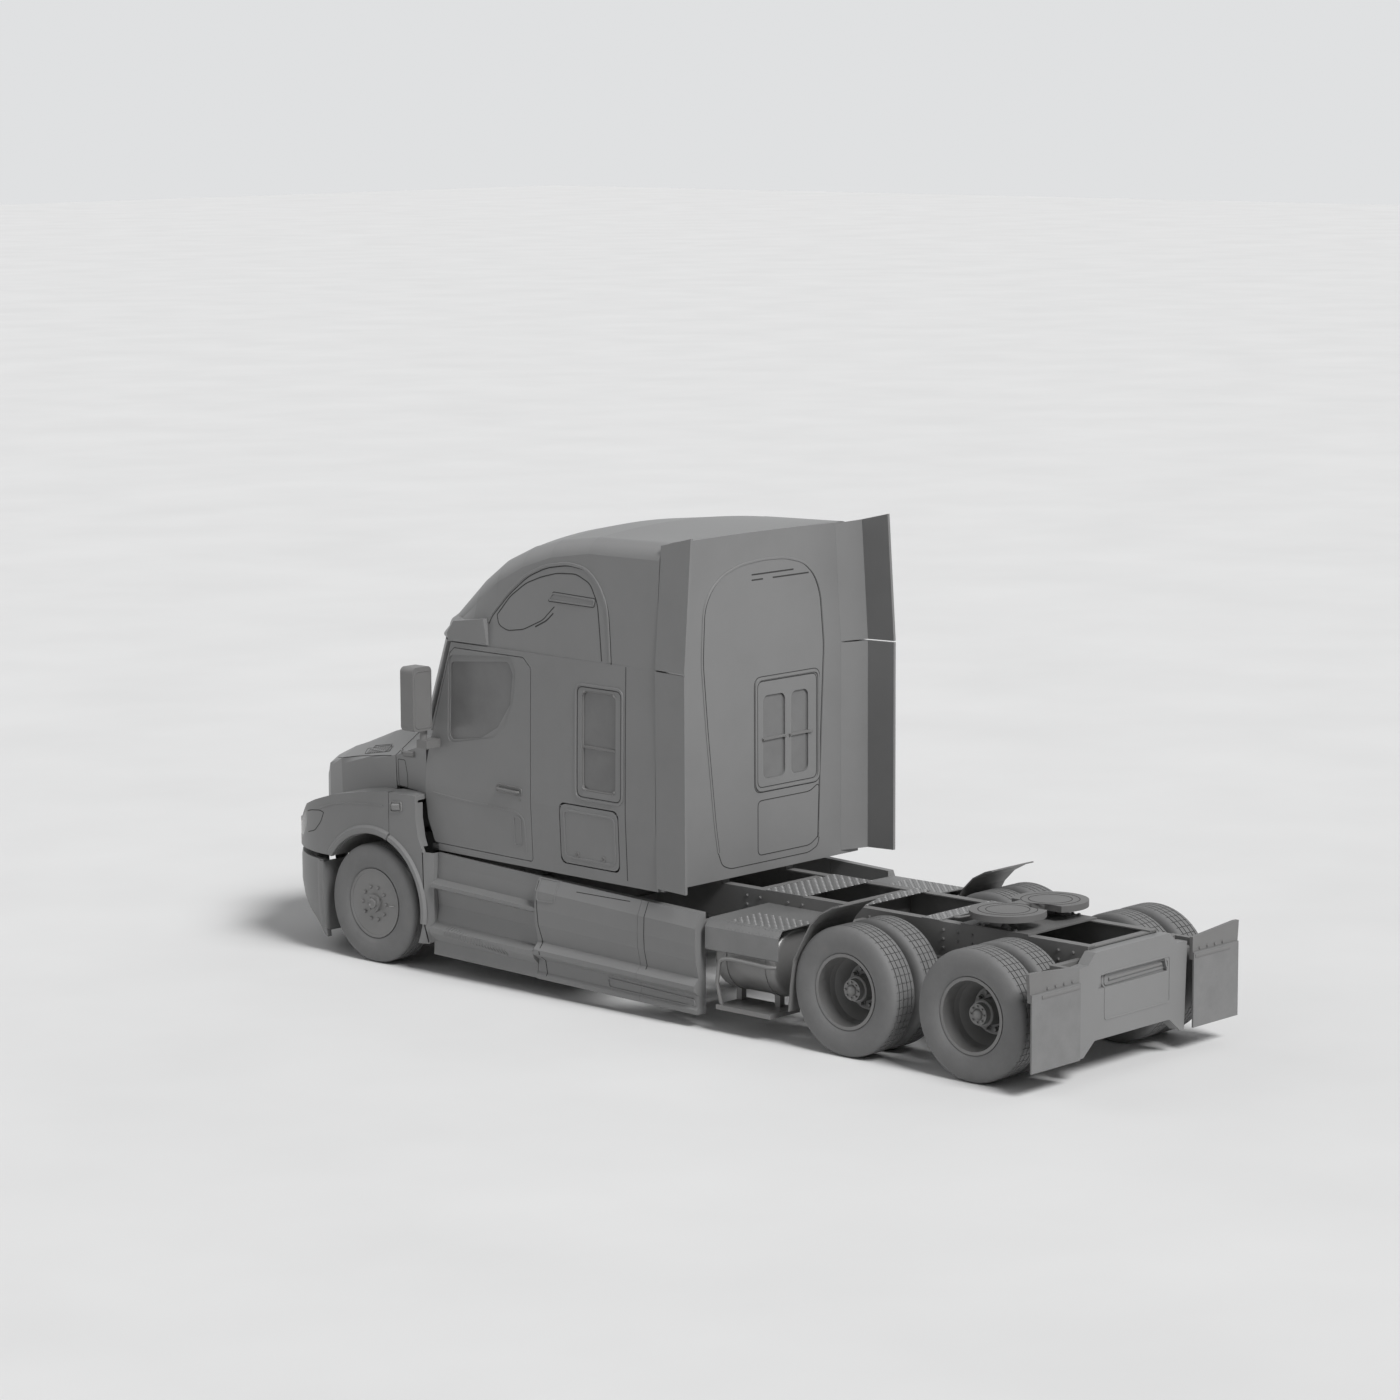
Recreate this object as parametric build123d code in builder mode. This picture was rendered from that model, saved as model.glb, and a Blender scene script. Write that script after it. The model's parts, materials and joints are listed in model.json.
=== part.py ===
"""Highway tractor unit: three axles, conventional hood, raised-roof sleeper, fifth wheel.

Millimetres. Forward is -Y, the driver's side is +X and the ground is z = 0. Stations are measured
back from the front axle, and at() turns a station into Y, so the box's middle lies at Y = 0.
"""
import os
from math import cos, radians, sin, sqrt

from build123d import *

os.makedirs("parts", exist_ok=True)

# Shared clearances
seat_gap = 0.3
panel_gap = 6.0
shaft_clearance = 0.05
overrun = 60.0

# Overall stations and heights
front_overhang = 1480.0
drive_station = 5230.0
tandem_spacing = 1240.0
rear_reach = 7150.0
axle_y = (front_overhang - rear_reach) / 2

# Wheels
tyre_radius = 512.0
tyre_width = 284.0
tyre_tread_width = 236.0
bead_width = 230.0
rim_radius = 286.0
flange_radius = 298.0
flange_width = 10.0
rim_wall = 14.0
well_radius = 262.0
front_wheel_x = 1103.0
dual_centre_x = 880.0
dual_spacing = 343.0
hub_radius = 105.0
drum_radius = 206.0
spindle_radius = 60.0
front_spindle_radius = 40.0

# Frame
rail_half_width = 430.0
rail_height = 270.0
rail_flange = 85.0
rail_wall = 10.0
rail_top = 1000.0
rail_front = -1180.0
rail_rear = 7000.0

# Cab and sleeper box
cab_front_station = 560.0
cab_mid_station = 1870.0
cab_rear_station = 3310.0
cab_front_half = 1135.0
cab_mid_half = 1192.0
cab_rear_half = 1238.0
cab_wall = 40.0
cab_sill = 1045.0
cab_belt = 1600.0
cab_glass_line = 2060.0
roof_seam = 2828.0
sill_inset = 25.0
glass_line_inset = 5.0
seam_inset = 20.0
glass_wall = 6.0


def at(station):
    """Y of a station measured back from the front axle."""
    return axle_y + station


def across(station):
    """Plane facing along the truck: local x is X, local y is Z."""
    return Plane.XZ.offset(-at(station))


def beside(x):
    """Plane facing sideways: local x is Y, local y is Z."""
    return Plane.YZ.offset(x)


def side_points(points):
    """Points of (station, height) turned into the local points of a sideways plane."""
    return [(at(station), height) for station, height in points]


def keep(piece, name):
    """Label a finished piece and write it."""
    piece.part.label = name
    export_step(piece.part, f"parts/{name}.step")


def outline(points):
    """Closed face through the points, in the current sketch."""
    with BuildLine(mode=Mode.PRIVATE) as edge_loop:
        Polyline(*points, close=True)
    make_face(edge_loop.edges())


def mirrored(piece):
    """The same piece on the other side of the truck."""
    with BuildPart() as other:
        mirror(piece.part, about=Plane.YZ)
    return other


def together(*pieces):
    """Several finished pieces as one node."""
    with BuildPart() as group:
        for piece in pieces:
            add(piece.part)
    return group


def both_sides(piece):
    """A piece and its mirror image as one node."""
    return together(piece, mirrored(piece))


def side_slab(points, inner_x, outer_x, corner=0.0):
    """A slab with a side-view outline, from inner_x out to outer_x."""
    with BuildPart() as slab:
        with BuildSketch(beside(inner_x)) as face:
            outline(side_points(points))
            if corner:
                fillet(face.vertices(), corner)
        extrude(amount=outer_x - inner_x)
    return slab


def block(x_range, station_range, z_range):
    """A plain block between pairs of limits."""
    with BuildPart() as solid:
        with BuildSketch(Plane.XY.offset(z_range[0])):
            outline([(x_range[0], at(station_range[0])), (x_range[1], at(station_range[0])),
                     (x_range[1], at(station_range[1])), (x_range[0], at(station_range[1]))])
        extrude(amount=z_range[1] - z_range[0])
    return solid


def wheel_plane(x, station):
    """Plane through a wheel's axis, with local x along the axis and local y up."""
    return Plane(origin=(x, at(station), tyre_radius), x_dir=(1, 0, 0), z_dir=(0, -1, 0))


def turned(profiles, x, station, mirror_axis=1):
    """Profiles of (outward offset, radius) turned about a wheel's axis."""
    plane = wheel_plane(x, station)
    with BuildPart() as piece:
        for profile in profiles:
            with BuildSketch(plane):
                outline([(mirror_axis * offset, radius) for offset, radius in profile])
            revolve(axis=Axis(plane.origin, plane.x_dir))
    return piece


# Skin of the cab and sleeper: levels of (height, inset of the outer surface)
skin_levels = [(cab_sill, sill_inset), (cab_belt, 0.0), (cab_glass_line, glass_line_inset),
               (roof_seam - seat_gap, seam_inset)]


def skin_line(inset):
    """Three plan points of one side's outer surface, front to rear."""
    return [(cab_front_half - inset, at(cab_front_station)), (cab_mid_half - inset, at(cab_mid_station)),
            (cab_rear_half - inset, at(cab_rear_station))]


def skin_x(station):
    """X of the left wall's outer surface at its widest level, from the arc through its three points."""
    (x1, y1), (x2, y2), (x3, y3) = skin_line(0.0)
    slope_a, slope_b = (y2 - y1) / (x2 - x1), (y3 - y2) / (x3 - x2)
    centre_x = ((slope_a * slope_b * (y1 - y3) + slope_b * (x1 + x2) - slope_a * (x2 + x3))
                / (2 * (slope_b - slope_a)))
    centre_y = -(centre_x - (x1 + x2) / 2) / slope_a + (y1 + y2) / 2
    radius = sqrt((x1 - centre_x) ** 2 + (y1 - centre_y) ** 2)
    return centre_x + sqrt(radius ** 2 - (at(station) - centre_y) ** 2)


def side_skin(depth, wall):
    """The left wall's skin: it starts at a depth under the outer surface and is one wall thick."""
    with BuildPart() as skin:
        for height, inset in skin_levels:
            outer = skin_line(inset + depth)
            inner = skin_line(inset + depth + wall)
            with BuildSketch(Plane.XY.offset(height)):
                with BuildLine():
                    ThreePointArc(*outer)
                    Line(outer[2], inner[2])
                    ThreePointArc(*inner)
                    Line(inner[0], outer[0])
                make_face()
        loft(ruled=True)
    return skin


# Front of the cab: plan arcs of the windscreen, from one A-pillar to the other
pillar_foot_station = 572.0
pillar_head_station = 832.0
screen_sagitta = 560.0
pillar_foot_half = 1128.0
pillar_head_half = 1118.0


def front_arc(level_share, depth):
    """Ends, middle of the windscreen's plan arc at a share of its height, under the surface by depth."""
    half = pillar_foot_half + level_share * (pillar_head_half - pillar_foot_half)
    station = pillar_foot_station + level_share * (pillar_head_station - pillar_foot_station)
    radius = (half ** 2 + screen_sagitta ** 2) / (2 * screen_sagitta)
    centre = at(station) - screen_sagitta + radius
    scale = (radius - depth) / radius
    return [(-half * scale, centre + (at(station) - centre) * scale), (0, centre - radius + depth),
            (half * scale, centre + (at(station) - centre) * scale)]


def front_skin(depth, wall):
    """The windscreen's skin between the glass line and the roof seam."""
    with BuildPart() as skin:
        for level_share, height in ((0.0, cab_glass_line), (1.0, roof_seam - seat_gap)):
            outer = front_arc(level_share, depth)
            inner = front_arc(level_share, depth + wall)
            with BuildSketch(Plane.XY.offset(height)):
                with BuildLine():
                    ThreePointArc(*outer)
                    Line(outer[2], inner[2])
                    ThreePointArc(*inner)
                    Line(inner[0], outer[0])
                make_face()
        loft(ruled=True)
    return skin


# Tyres and rims
half_tread = tyre_tread_width / 2
half_tyre = tyre_width / 2
half_bead = bead_width / 2 - flange_width - seat_gap
tyre_profile = [
    (-half_bead, rim_radius + seat_gap), (half_bead, rim_radius + seat_gap),
    (half_bead, flange_radius + seat_gap), (half_tyre * 0.93, flange_radius + tyre_width * 0.13),
    (half_tyre, flange_radius + tyre_width * 0.36), (half_tyre * 0.97, tyre_radius - tyre_width * 0.19),
    (half_tread, tyre_radius - tyre_width * 0.045), (half_tread * 0.85, tyre_radius),
    (-half_tread * 0.85, tyre_radius), (-half_tread, tyre_radius - tyre_width * 0.045),
    (-half_tyre * 0.97, tyre_radius - tyre_width * 0.19), (-half_tyre, flange_radius + tyre_width * 0.36),
    (-half_tyre * 0.93, flange_radius + tyre_width * 0.13), (-half_bead, flange_radius + seat_gap)]

half_rim = bead_width / 2
disc_outset = 100.0
hub_reach = 135.0
bolt_circle_radius = 170.0

# The front rim's disc bulges outward; offsets are from the tyre's middle
front_rim_profile = [
    (-half_rim, flange_radius), (flange_width - half_rim, flange_radius),
    (flange_width - half_rim, rim_radius), (-half_rim * 0.4, well_radius + rim_wall),
    (half_rim * 0.4, well_radius + rim_wall), (half_rim - flange_width, rim_radius),
    (half_rim - flange_width, flange_radius), (half_rim, flange_radius),
    (half_rim, rim_radius - rim_wall), (half_rim * 0.55, well_radius),
    (disc_outset * 0.97, bolt_circle_radius + rim_wall * 2), (disc_outset, bolt_circle_radius),
    (disc_outset, hub_radius - rim_wall), (disc_outset - rim_wall, hub_radius - rim_wall),
    (disc_outset - rim_wall, bolt_circle_radius), (half_rim * 0.3, well_radius - rim_wall * 0.6),
    (-half_rim * 0.5, well_radius), (-half_rim, rim_radius - rim_wall)]
front_hub_inner = 84.0
front_hub_profile = [
    (-front_hub_inner, front_spindle_radius + shaft_clearance), (-front_hub_inner, hub_radius * 0.9),
    (disc_outset - rim_wall * 2, hub_radius * 0.9), (disc_outset - rim_wall * 2, bolt_circle_radius),
    (disc_outset - rim_wall, bolt_circle_radius), (disc_outset - rim_wall, hub_radius * 0.8),
    (hub_reach, hub_radius * 0.72), (hub_reach, 0), (front_hub_inner * 0.4, 0),
    (front_hub_inner * 0.4, front_spindle_radius + shaft_clearance)]

# The drive wheels are dished in to the middle of the pair; offsets are from that middle
outer_rim_offset = dual_spacing / 2
dish_profile = [
    (outer_rim_offset - half_rim, flange_radius), (outer_rim_offset - half_rim + flange_width, flange_radius),
    (outer_rim_offset - half_rim + flange_width, rim_radius), (outer_rim_offset * 0.66, well_radius + rim_wall),
    (outer_rim_offset * 0.95, well_radius + rim_wall), (outer_rim_offset + half_rim - flange_width, rim_radius),
    (outer_rim_offset + half_rim - flange_width, flange_radius), (outer_rim_offset + half_rim, flange_radius),
    (outer_rim_offset + half_rim, rim_radius - rim_wall), (outer_rim_offset * 0.95, well_radius),
    (outer_rim_offset * 0.7, well_radius - rim_wall), (rim_wall * 1.2, bolt_circle_radius + rim_wall),
    (rim_wall, bolt_circle_radius), (rim_wall, hub_radius - seat_gap), (0, hub_radius - seat_gap),
    (0, bolt_circle_radius + rim_wall), (outer_rim_offset * 0.56, well_radius),
    (outer_rim_offset - half_rim, rim_radius - rim_wall)]
drive_hub_inner = 120.0
drive_hub_outer = 150.0
axle_flange_reach = 205.0
bearing_reach = 80.0
drive_hub_profile = [
    (-drive_hub_inner, spindle_radius + shaft_clearance), (-drive_hub_inner, hub_radius),
    (drive_hub_outer, hub_radius), (drive_hub_outer, hub_radius * 0.82),
    (axle_flange_reach, hub_radius * 0.78), (axle_flange_reach, 0), (bearing_reach, 0),
    (bearing_reach, spindle_radius + shaft_clearance)]
drum_depth = 236.0
drum_face = 84.0
drum_profile = [
    (-drum_depth, drum_radius), (-drum_face, drum_radius), (-rim_wall * 2, hub_radius * 1.45),
    (-rim_wall * 2, hub_radius - seat_gap), (-rim_wall * 3, hub_radius - seat_gap),
    (-rim_wall * 3, hub_radius * 1.3), (-drum_face - rim_wall * 0.6, drum_radius - rim_wall),
    (-drum_depth, drum_radius - rim_wall)]

front_tyre_left = turned([tyre_profile], front_wheel_x, 0)
keep(front_tyre_left, "front_tyre_left")
keep(mirrored(front_tyre_left), "front_tyre_right")
front_rim_left = turned([front_rim_profile, front_hub_profile], front_wheel_x, 0)
keep(front_rim_left, "front_rim_left")
keep(mirrored(front_rim_left), "front_rim_right")

inner_dish_profile = [(-offset, radius) for offset, radius in dish_profile]
drive_axles = (("front", drive_station), ("rear", drive_station + tandem_spacing))
for axle_name, station in drive_axles:
    pair_profiles = [[(offset + share * dual_spacing, radius) for offset, radius in tyre_profile]
                     for share in (-0.5, 0.5)]
    tyre_pair = turned(pair_profiles, dual_centre_x, station)
    keep(tyre_pair, f"{axle_name}_drive_tyres_left")
    keep(mirrored(tyre_pair), f"{axle_name}_drive_tyres_right")
    rim_pair = turned([dish_profile, inner_dish_profile, drive_hub_profile, drum_profile],
                      dual_centre_x, station)
    keep(rim_pair, f"{axle_name}_drive_rims_left")
    keep(mirrored(rim_pair), f"{axle_name}_drive_rims_right")

# Steering knuckle: ears above and below the beam's eye, a pin through it, and the wheel's spindle
kingpin_x = 940.0
kingpin_radius = 22.0
eye_radius = 48.0
eye_height = 90.0
ear_height = 34.0
ear_gap = 1.5
knuckle_half_width = 45.0
knuckle_web_inner = 994.0
knuckle_web_outer = 1014.0
eye_low = tyre_radius - eye_height / 2
eye_high = tyre_radius + eye_height / 2
ear_inner = kingpin_x - knuckle_half_width * 0.8
with BuildPart() as knuckle_left:
    with BuildSketch(beside(knuckle_web_inner)):
        outline([(at(-knuckle_half_width), eye_low - ear_gap - ear_height),
                 (at(knuckle_half_width), eye_low - ear_gap - ear_height),
                 (at(knuckle_half_width), eye_high + ear_gap + ear_height),
                 (at(-knuckle_half_width), eye_high + ear_gap + ear_height)])
    extrude(amount=knuckle_web_outer - knuckle_web_inner)
    for ear_base in (eye_low - ear_gap - ear_height, eye_high + ear_gap):
        with BuildSketch(Plane.XY.offset(ear_base)):
            outline([(ear_inner, at(-knuckle_half_width)), (knuckle_web_outer, at(-knuckle_half_width)),
                     (knuckle_web_outer, at(knuckle_half_width)), (ear_inner, at(knuckle_half_width))])
        extrude(amount=ear_height)
    with BuildSketch(Plane.XY.offset(eye_low - ear_gap - ear_height)):
        with Locations((kingpin_x, at(0))):
            Circle(kingpin_radius)
    extrude(amount=eye_height + 2 * ear_gap + 2 * ear_height)
    with BuildSketch(Plane(origin=(knuckle_web_inner, at(0), tyre_radius), z_dir=(1, 0, 0))):
        Circle(front_spindle_radius)
    extrude(amount=front_wheel_x + front_hub_inner * 0.3 - knuckle_web_inner)
keep(knuckle_left, "knuckle_left")
keep(mirrored(knuckle_left), "knuckle_right")

# Front axle: a dropped beam with an eye at each end
beam_half_depth = 48.0
beam_drop = 150.0
beam_drop_half = 520.0
beam_web = 100.0
beam_end = kingpin_x - eye_radius * 0.6
with BuildPart() as front_axle:
    with BuildSketch(across(beam_half_depth)):
        upper = [(beam_end, eye_high), (beam_end - eye_radius, eye_high),
                 (beam_drop_half, eye_high - beam_drop)]
        lower = [(beam_drop_half - eye_radius, eye_low - beam_drop), (beam_end - 2 * eye_radius, eye_low),
                 (beam_end, eye_low)]
        left_side = upper + [(-x, z) for x, z in reversed(upper)]
        outline(left_side + [(-x, z) for x, z in reversed(lower)] + lower)
    extrude(amount=2 * beam_half_depth)
    for side in (1, -1):
        with BuildSketch(Plane.XY.offset(eye_low)):
            with Locations((side * kingpin_x, at(0))):
                Circle(eye_radius)
        extrude(amount=eye_height)
        with BuildSketch(Plane.XY.offset(eye_low)):
            with Locations((side * kingpin_x, at(0))):
                Circle(kingpin_radius + shaft_clearance)
        extrude(amount=eye_height, mode=Mode.SUBTRACT)
keep(front_axle, "front_axle")

# Front leaf springs, from the beam's seats up to hangers under the rails
spring_x = rail_half_width - rail_flange / 2
spring_half_length = 720.0
spring_width = 76.0
leaf_depth = 44.0
spring_rise = 210.0
spring_seat = eye_high - beam_drop + seat_gap
with BuildPart() as front_springs:
    for side in (1, -1):
        with BuildSketch(beside(side * spring_x - spring_width / 2)):
            outline(side_points([
                (-spring_half_length, spring_seat + spring_rise), (-spring_half_length / 2, spring_seat + spring_rise / 4),
                (-beam_half_depth, spring_seat), (beam_half_depth, spring_seat),
                (spring_half_length / 2, spring_seat + spring_rise / 4), (spring_half_length, spring_seat + spring_rise),
                (spring_half_length, rail_top - rail_height - seat_gap),
                (spring_half_length - leaf_depth * 2, rail_top - rail_height - seat_gap),
                (spring_half_length - leaf_depth * 2, spring_seat + spring_rise + leaf_depth),
                (spring_half_length / 2, spring_seat + spring_rise / 4 + leaf_depth * 1.6),
                (0, spring_seat + leaf_depth * 2),
                (-spring_half_length / 2, spring_seat + spring_rise / 4 + leaf_depth * 1.6),
                (-spring_half_length + leaf_depth * 2, spring_seat + spring_rise + leaf_depth),
                (-spring_half_length + leaf_depth * 2, rail_top - rail_height - seat_gap),
                (-spring_half_length, rail_top - rail_height - seat_gap)]))
        extrude(amount=spring_width)

# Drive axles: a tube with a bowl for the final drive, and a spindle at each end
axle_tube_radius = 72.0
bowl_radius = 205.0
bowl_half = 150.0
spindle_end = dual_centre_x + bearing_reach * 0.9
tube_end = dual_centre_x - drive_hub_inner - rim_wall
with BuildPart() as axle_housings:
    for axle_name, station in drive_axles:
        plane = wheel_plane(0, station)
        profile = [(-spindle_end, 0), (-spindle_end, spindle_radius), (-tube_end, spindle_radius),
                   (-tube_end, axle_tube_radius), (-bowl_half * 1.8, axle_tube_radius),
                   (-bowl_half, bowl_radius * 0.8), (-bowl_half * 0.6, bowl_radius), (bowl_half * 0.6, bowl_radius),
                   (bowl_half, bowl_radius * 0.8), (bowl_half * 1.8, axle_tube_radius),
                   (tube_end, axle_tube_radius), (tube_end, spindle_radius),
                   (spindle_end, spindle_radius), (spindle_end, 0)]
        with BuildSketch(plane):
            outline(profile)
        revolve(axis=Axis(plane.origin, plane.x_dir))
keep(axle_housings, "drive_axle_housings")

# Frame rails, channels that face inward, and the crossmembers between them
with BuildPart() as frame_rails:
    for side in (1, -1):
        with BuildSketch(across(rail_front)):
            outline([(side * x, z) for x, z in (
                (rail_half_width, rail_top), (rail_half_width, rail_top - rail_height),
                (rail_half_width - rail_flange, rail_top - rail_height),
                (rail_half_width - rail_flange, rail_top - rail_height + rail_wall),
                (rail_half_width - rail_wall, rail_top - rail_height + rail_wall),
                (rail_half_width - rail_wall, rail_top - rail_wall),
                (rail_half_width - rail_flange, rail_top - rail_wall), (rail_half_width - rail_flange, rail_top))])
        extrude(amount=rail_front - rail_rear)
keep(frame_rails, "frame_rails")

crossmember_stations = [-1080.0, 1250.0, 2450.0, 3650.0, 4560.0, 5850.0, 6960.0]
crossmember_length = 70.0
member_wall = 12.0
member_height = rail_height - 2 * rail_wall - 2 * seat_gap
member_half = rail_half_width - rail_wall - seat_gap
member_low = rail_top - rail_height + rail_wall + seat_gap
with BuildPart() as crossmembers:
    for station in crossmember_stations:
        with BuildSketch(beside(-member_half)):
            outline(side_points([
                (station - crossmember_length / 2, member_low), (station + crossmember_length / 2, member_low),
                (station + crossmember_length / 2, member_low + member_wall),
                (station + member_wall / 2, member_low + member_wall),
                (station + member_wall / 2, member_low + member_height - member_wall),
                (station + crossmember_length / 2, member_low + member_height - member_wall),
                (station + crossmember_length / 2, member_low + member_height),
                (station - crossmember_length / 2, member_low + member_height),
                (station - crossmember_length / 2, member_low + member_height - member_wall),
                (station - member_wall / 2, member_low + member_height - member_wall),
                (station - member_wall / 2, member_low + member_wall),
                (station - crossmember_length / 2, member_low + member_wall)]))
        extrude(amount=2 * member_half)

# Rear suspension: a trailing arm under each axle end and an air spring behind it
arm_width = 80.0
arm_depth = 60.0
arm_reach = 480.0
air_spring_radius = 118.0
air_spring_offset = 330.0
hanger_length = 120.0
with BuildPart() as rear_suspension:
    for side in (1, -1):
        for axle_name, station in drive_axles:
            arm_inner = rail_half_width + seat_gap if side > 0 else -(rail_half_width + seat_gap) - arm_width
            with BuildSketch(beside(arm_inner)):
                outline(side_points([
                    (station - arm_reach, rail_top - rail_height / 2),
                    (station - arm_reach + hanger_length, rail_top - rail_height / 2),
                    (station - arm_reach + hanger_length, tyre_radius + axle_tube_radius + arm_depth + seat_gap),
                    (station + air_spring_offset + air_spring_radius, tyre_radius + axle_tube_radius + arm_depth + seat_gap),
                    (station + air_spring_offset + air_spring_radius, tyre_radius + axle_tube_radius + seat_gap),
                    (station - arm_reach, tyre_radius + axle_tube_radius + seat_gap)]))
            extrude(amount=arm_width)
            with BuildSketch(Plane.XY.offset(tyre_radius + axle_tube_radius + arm_depth + seat_gap)):
                with Locations((side * (rail_half_width + seat_gap + arm_width / 2 - air_spring_radius / 2),
                                at(station + air_spring_offset))):
                    Circle(air_spring_radius * 0.6)
            extrude(amount=rail_top - rail_height - seat_gap
                    - (tyre_radius + axle_tube_radius + arm_depth + seat_gap))
keep(together(front_springs, rear_suspension), "suspension")

# Engine, gearbox with its shafts, and radiator
engine_half = 330.0
engine_front = -850.0
engine_rear = 480.0
engine_low = 640.0
engine_high = 1540.0
engine_foot_stations = (-650.0, 300.0)
engine_foot_length = 120.0
engine_foot_half = rail_half_width - rail_wall - seat_gap
engine_foot_low = 790.0
engine_foot_high = 900.0
with BuildPart() as engine:
    with BuildSketch(across(engine_rear)):
        outline([(engine_half * 0.55, engine_low), (engine_half, rail_top - rail_height / 2), (engine_half, engine_high * 0.85),
                 (engine_half * 0.6, engine_high), (-engine_half * 0.6, engine_high), (-engine_half, engine_high * 0.85),
                 (-engine_half, rail_top - rail_height / 2), (-engine_half * 0.55, engine_low)])
    extrude(amount=engine_rear - engine_front)
    for station in engine_foot_stations:
        add(block((-engine_foot_half, engine_foot_half), (station, station + engine_foot_length),
                  (engine_foot_low, engine_foot_high)).part)
keep(engine, "engine")

gearbox_half = 240.0
gearbox_rear = 1190.0
gearbox_low = 600.0
gearbox_high = 985.0
shaft_radius = 55.0
shaft_height = tyre_radius + 130.0
with BuildPart() as driveline:
    with BuildSketch(across(engine_rear + seat_gap)):
        outline([(-gearbox_half, gearbox_low), (gearbox_half, gearbox_low), (gearbox_half, gearbox_high),
                 (-gearbox_half, gearbox_high)])
    with BuildSketch(across(gearbox_rear)):
        outline([(-gearbox_half * 0.7, gearbox_low), (gearbox_half * 0.7, gearbox_low),
                 (gearbox_half * 0.7, gearbox_high - shaft_radius * 2), (-gearbox_half * 0.7, gearbox_high - shaft_radius * 2)])
    loft(ruled=True)
    with BuildSketch(Plane(origin=(0, at(gearbox_rear), shaft_height), z_dir=(0, 1, 0))):
        Circle(shaft_radius)
    extrude(amount=drive_station + tandem_spacing - gearbox_rear)
    for axle_name, station in drive_axles:
        with BuildSketch(beside(-bowl_half)):
            with Locations((at(station), tyre_radius)):
                Circle(bowl_radius + seat_gap)
        extrude(amount=2 * bowl_half, mode=Mode.SUBTRACT)
keep(driveline, "driveline")

radiator_front = -1090.0
radiator_depth = 110.0
radiator_half = 520.0
radiator_low = 700.0
radiator_high = 1420.0
radiator = block((-radiator_half, radiator_half), (radiator_front + crossmember_length, radiator_front + crossmember_length + radiator_depth),
                 (rail_top + seat_gap, radiator_high))
keep(radiator, "radiator")

# Door outline, seen from the side, and the openings in the wall around it
door_rear = 1862.0
door_low = 1110.0
door_high = roof_seam - 48.0
door_points = [(655.0, door_low), (door_rear, door_low - 6.0), (door_rear, door_high - 80.0),
               (door_rear - 90.0, door_high), (930.0, door_high), (880.0, door_high - 45.0),
               (618.0, 1930.0), (575.0, 1760.0), (560.0, 1500.0), (580.0, 1300.0)]
door_corner = 30.0
window_low = cab_glass_line - 54.0
window_high = roof_seam - 100.0
window_points = [(870.0, window_low), (1262.0, window_low + 58.0), (1462.0, window_low + 166.0),
                 (1613.0, window_low + 374.0), (1642.0, window_high - 102.0), (1588.0, window_high),
                 (880.0, window_high - 66.0)]
window_corner = 50.0
recess_points = [(850.0, window_low - 30.0), (1420.0, window_low + 76.0), (1562.0, window_low + 198.0),
                 (1659.0, window_low + 416.0), (1688.0, window_high - 72.0), (1632.0, window_high + 46.0),
                 (862.0, window_high - 12.0)]
recess_corner = 60.0
recess_depth = 9.0
sleeper_window = (2470.0, 2860.0, 1770.0, 2590.0)
luggage_door = (2211.0, 2880.0, 1149.0, 1635.0)
luggage_corner = 70.0
luggage_room_corner = 50.0
sleeper_corner = 70.0


def rectangle(limits, margin=0.0):
    """Four side-view points of a (station, station, height, height) box, grown by a margin."""
    front, rear, low, high = limits
    return [(front - margin, low - margin), (rear + margin, low - margin),
            (rear + margin, high + margin), (front - margin, high + margin)]


def cut_panel(skin, outline_points, corner, windows):
    """The part of a skin inside a side-view outline, with windows of (points, corner) cut."""
    with BuildPart() as panel:
        add(skin.part)
        add(side_slab(outline_points, 0, cab_rear_half + overrun, corner).part, mode=Mode.INTERSECT)
        for points, radius in windows:
            add(side_slab(points, 0, cab_rear_half + overrun, radius).part, mode=Mode.SUBTRACT)
    return panel


# Door hinges: brackets on the firewall whose pins stand up into the door's front edge
hinge_x = 1108.0
hinge_station = 600.0
hinge_heights = (1410.0, 1790.0)
hinge_height = 40.0
hinge_pin_radius = 9.0
hinge_pin_length = 45.0
hinge_pocket_gap = 10.0
hinge_swing = 58.0
hinge_pocket_rear = 627.0
hinge_pocket_outer = 1121.0

# Luggage door hinges: pins from the wall into the ends of the door's top edge
luggage_gap = 10.0
luggage_pin_radius = 5.0
luggage_pin_depth = 10.0
luggage_pin_drop = 20.0
luggage_pin_length = 95.0
luggage_pin_root = 12.0


def luggage_pins(radius, ends):
    """The two pins of the left luggage door, or their bores, on one line just under the skin."""
    front, rear, low, high = luggage_door
    points = [(skin_x(station) - luggage_pin_depth, at(station)) for station in (front, rear)]
    along = Vector(points[1][0] - points[0][0], points[1][1] - points[0][1], 0).normalized()
    height = high - luggage_pin_drop
    with BuildPart() as pins:
        for start, direction in ((points[0], along), (points[1], along * -1)):
            origin = Vector(start[0], start[1], height) - direction * luggage_pin_root
            with BuildSketch(Plane(origin=origin - direction * ends, z_dir=direction)):
                Circle(radius)
            extrude(amount=luggage_pin_length + 2 * ends)
    return pins


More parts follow.
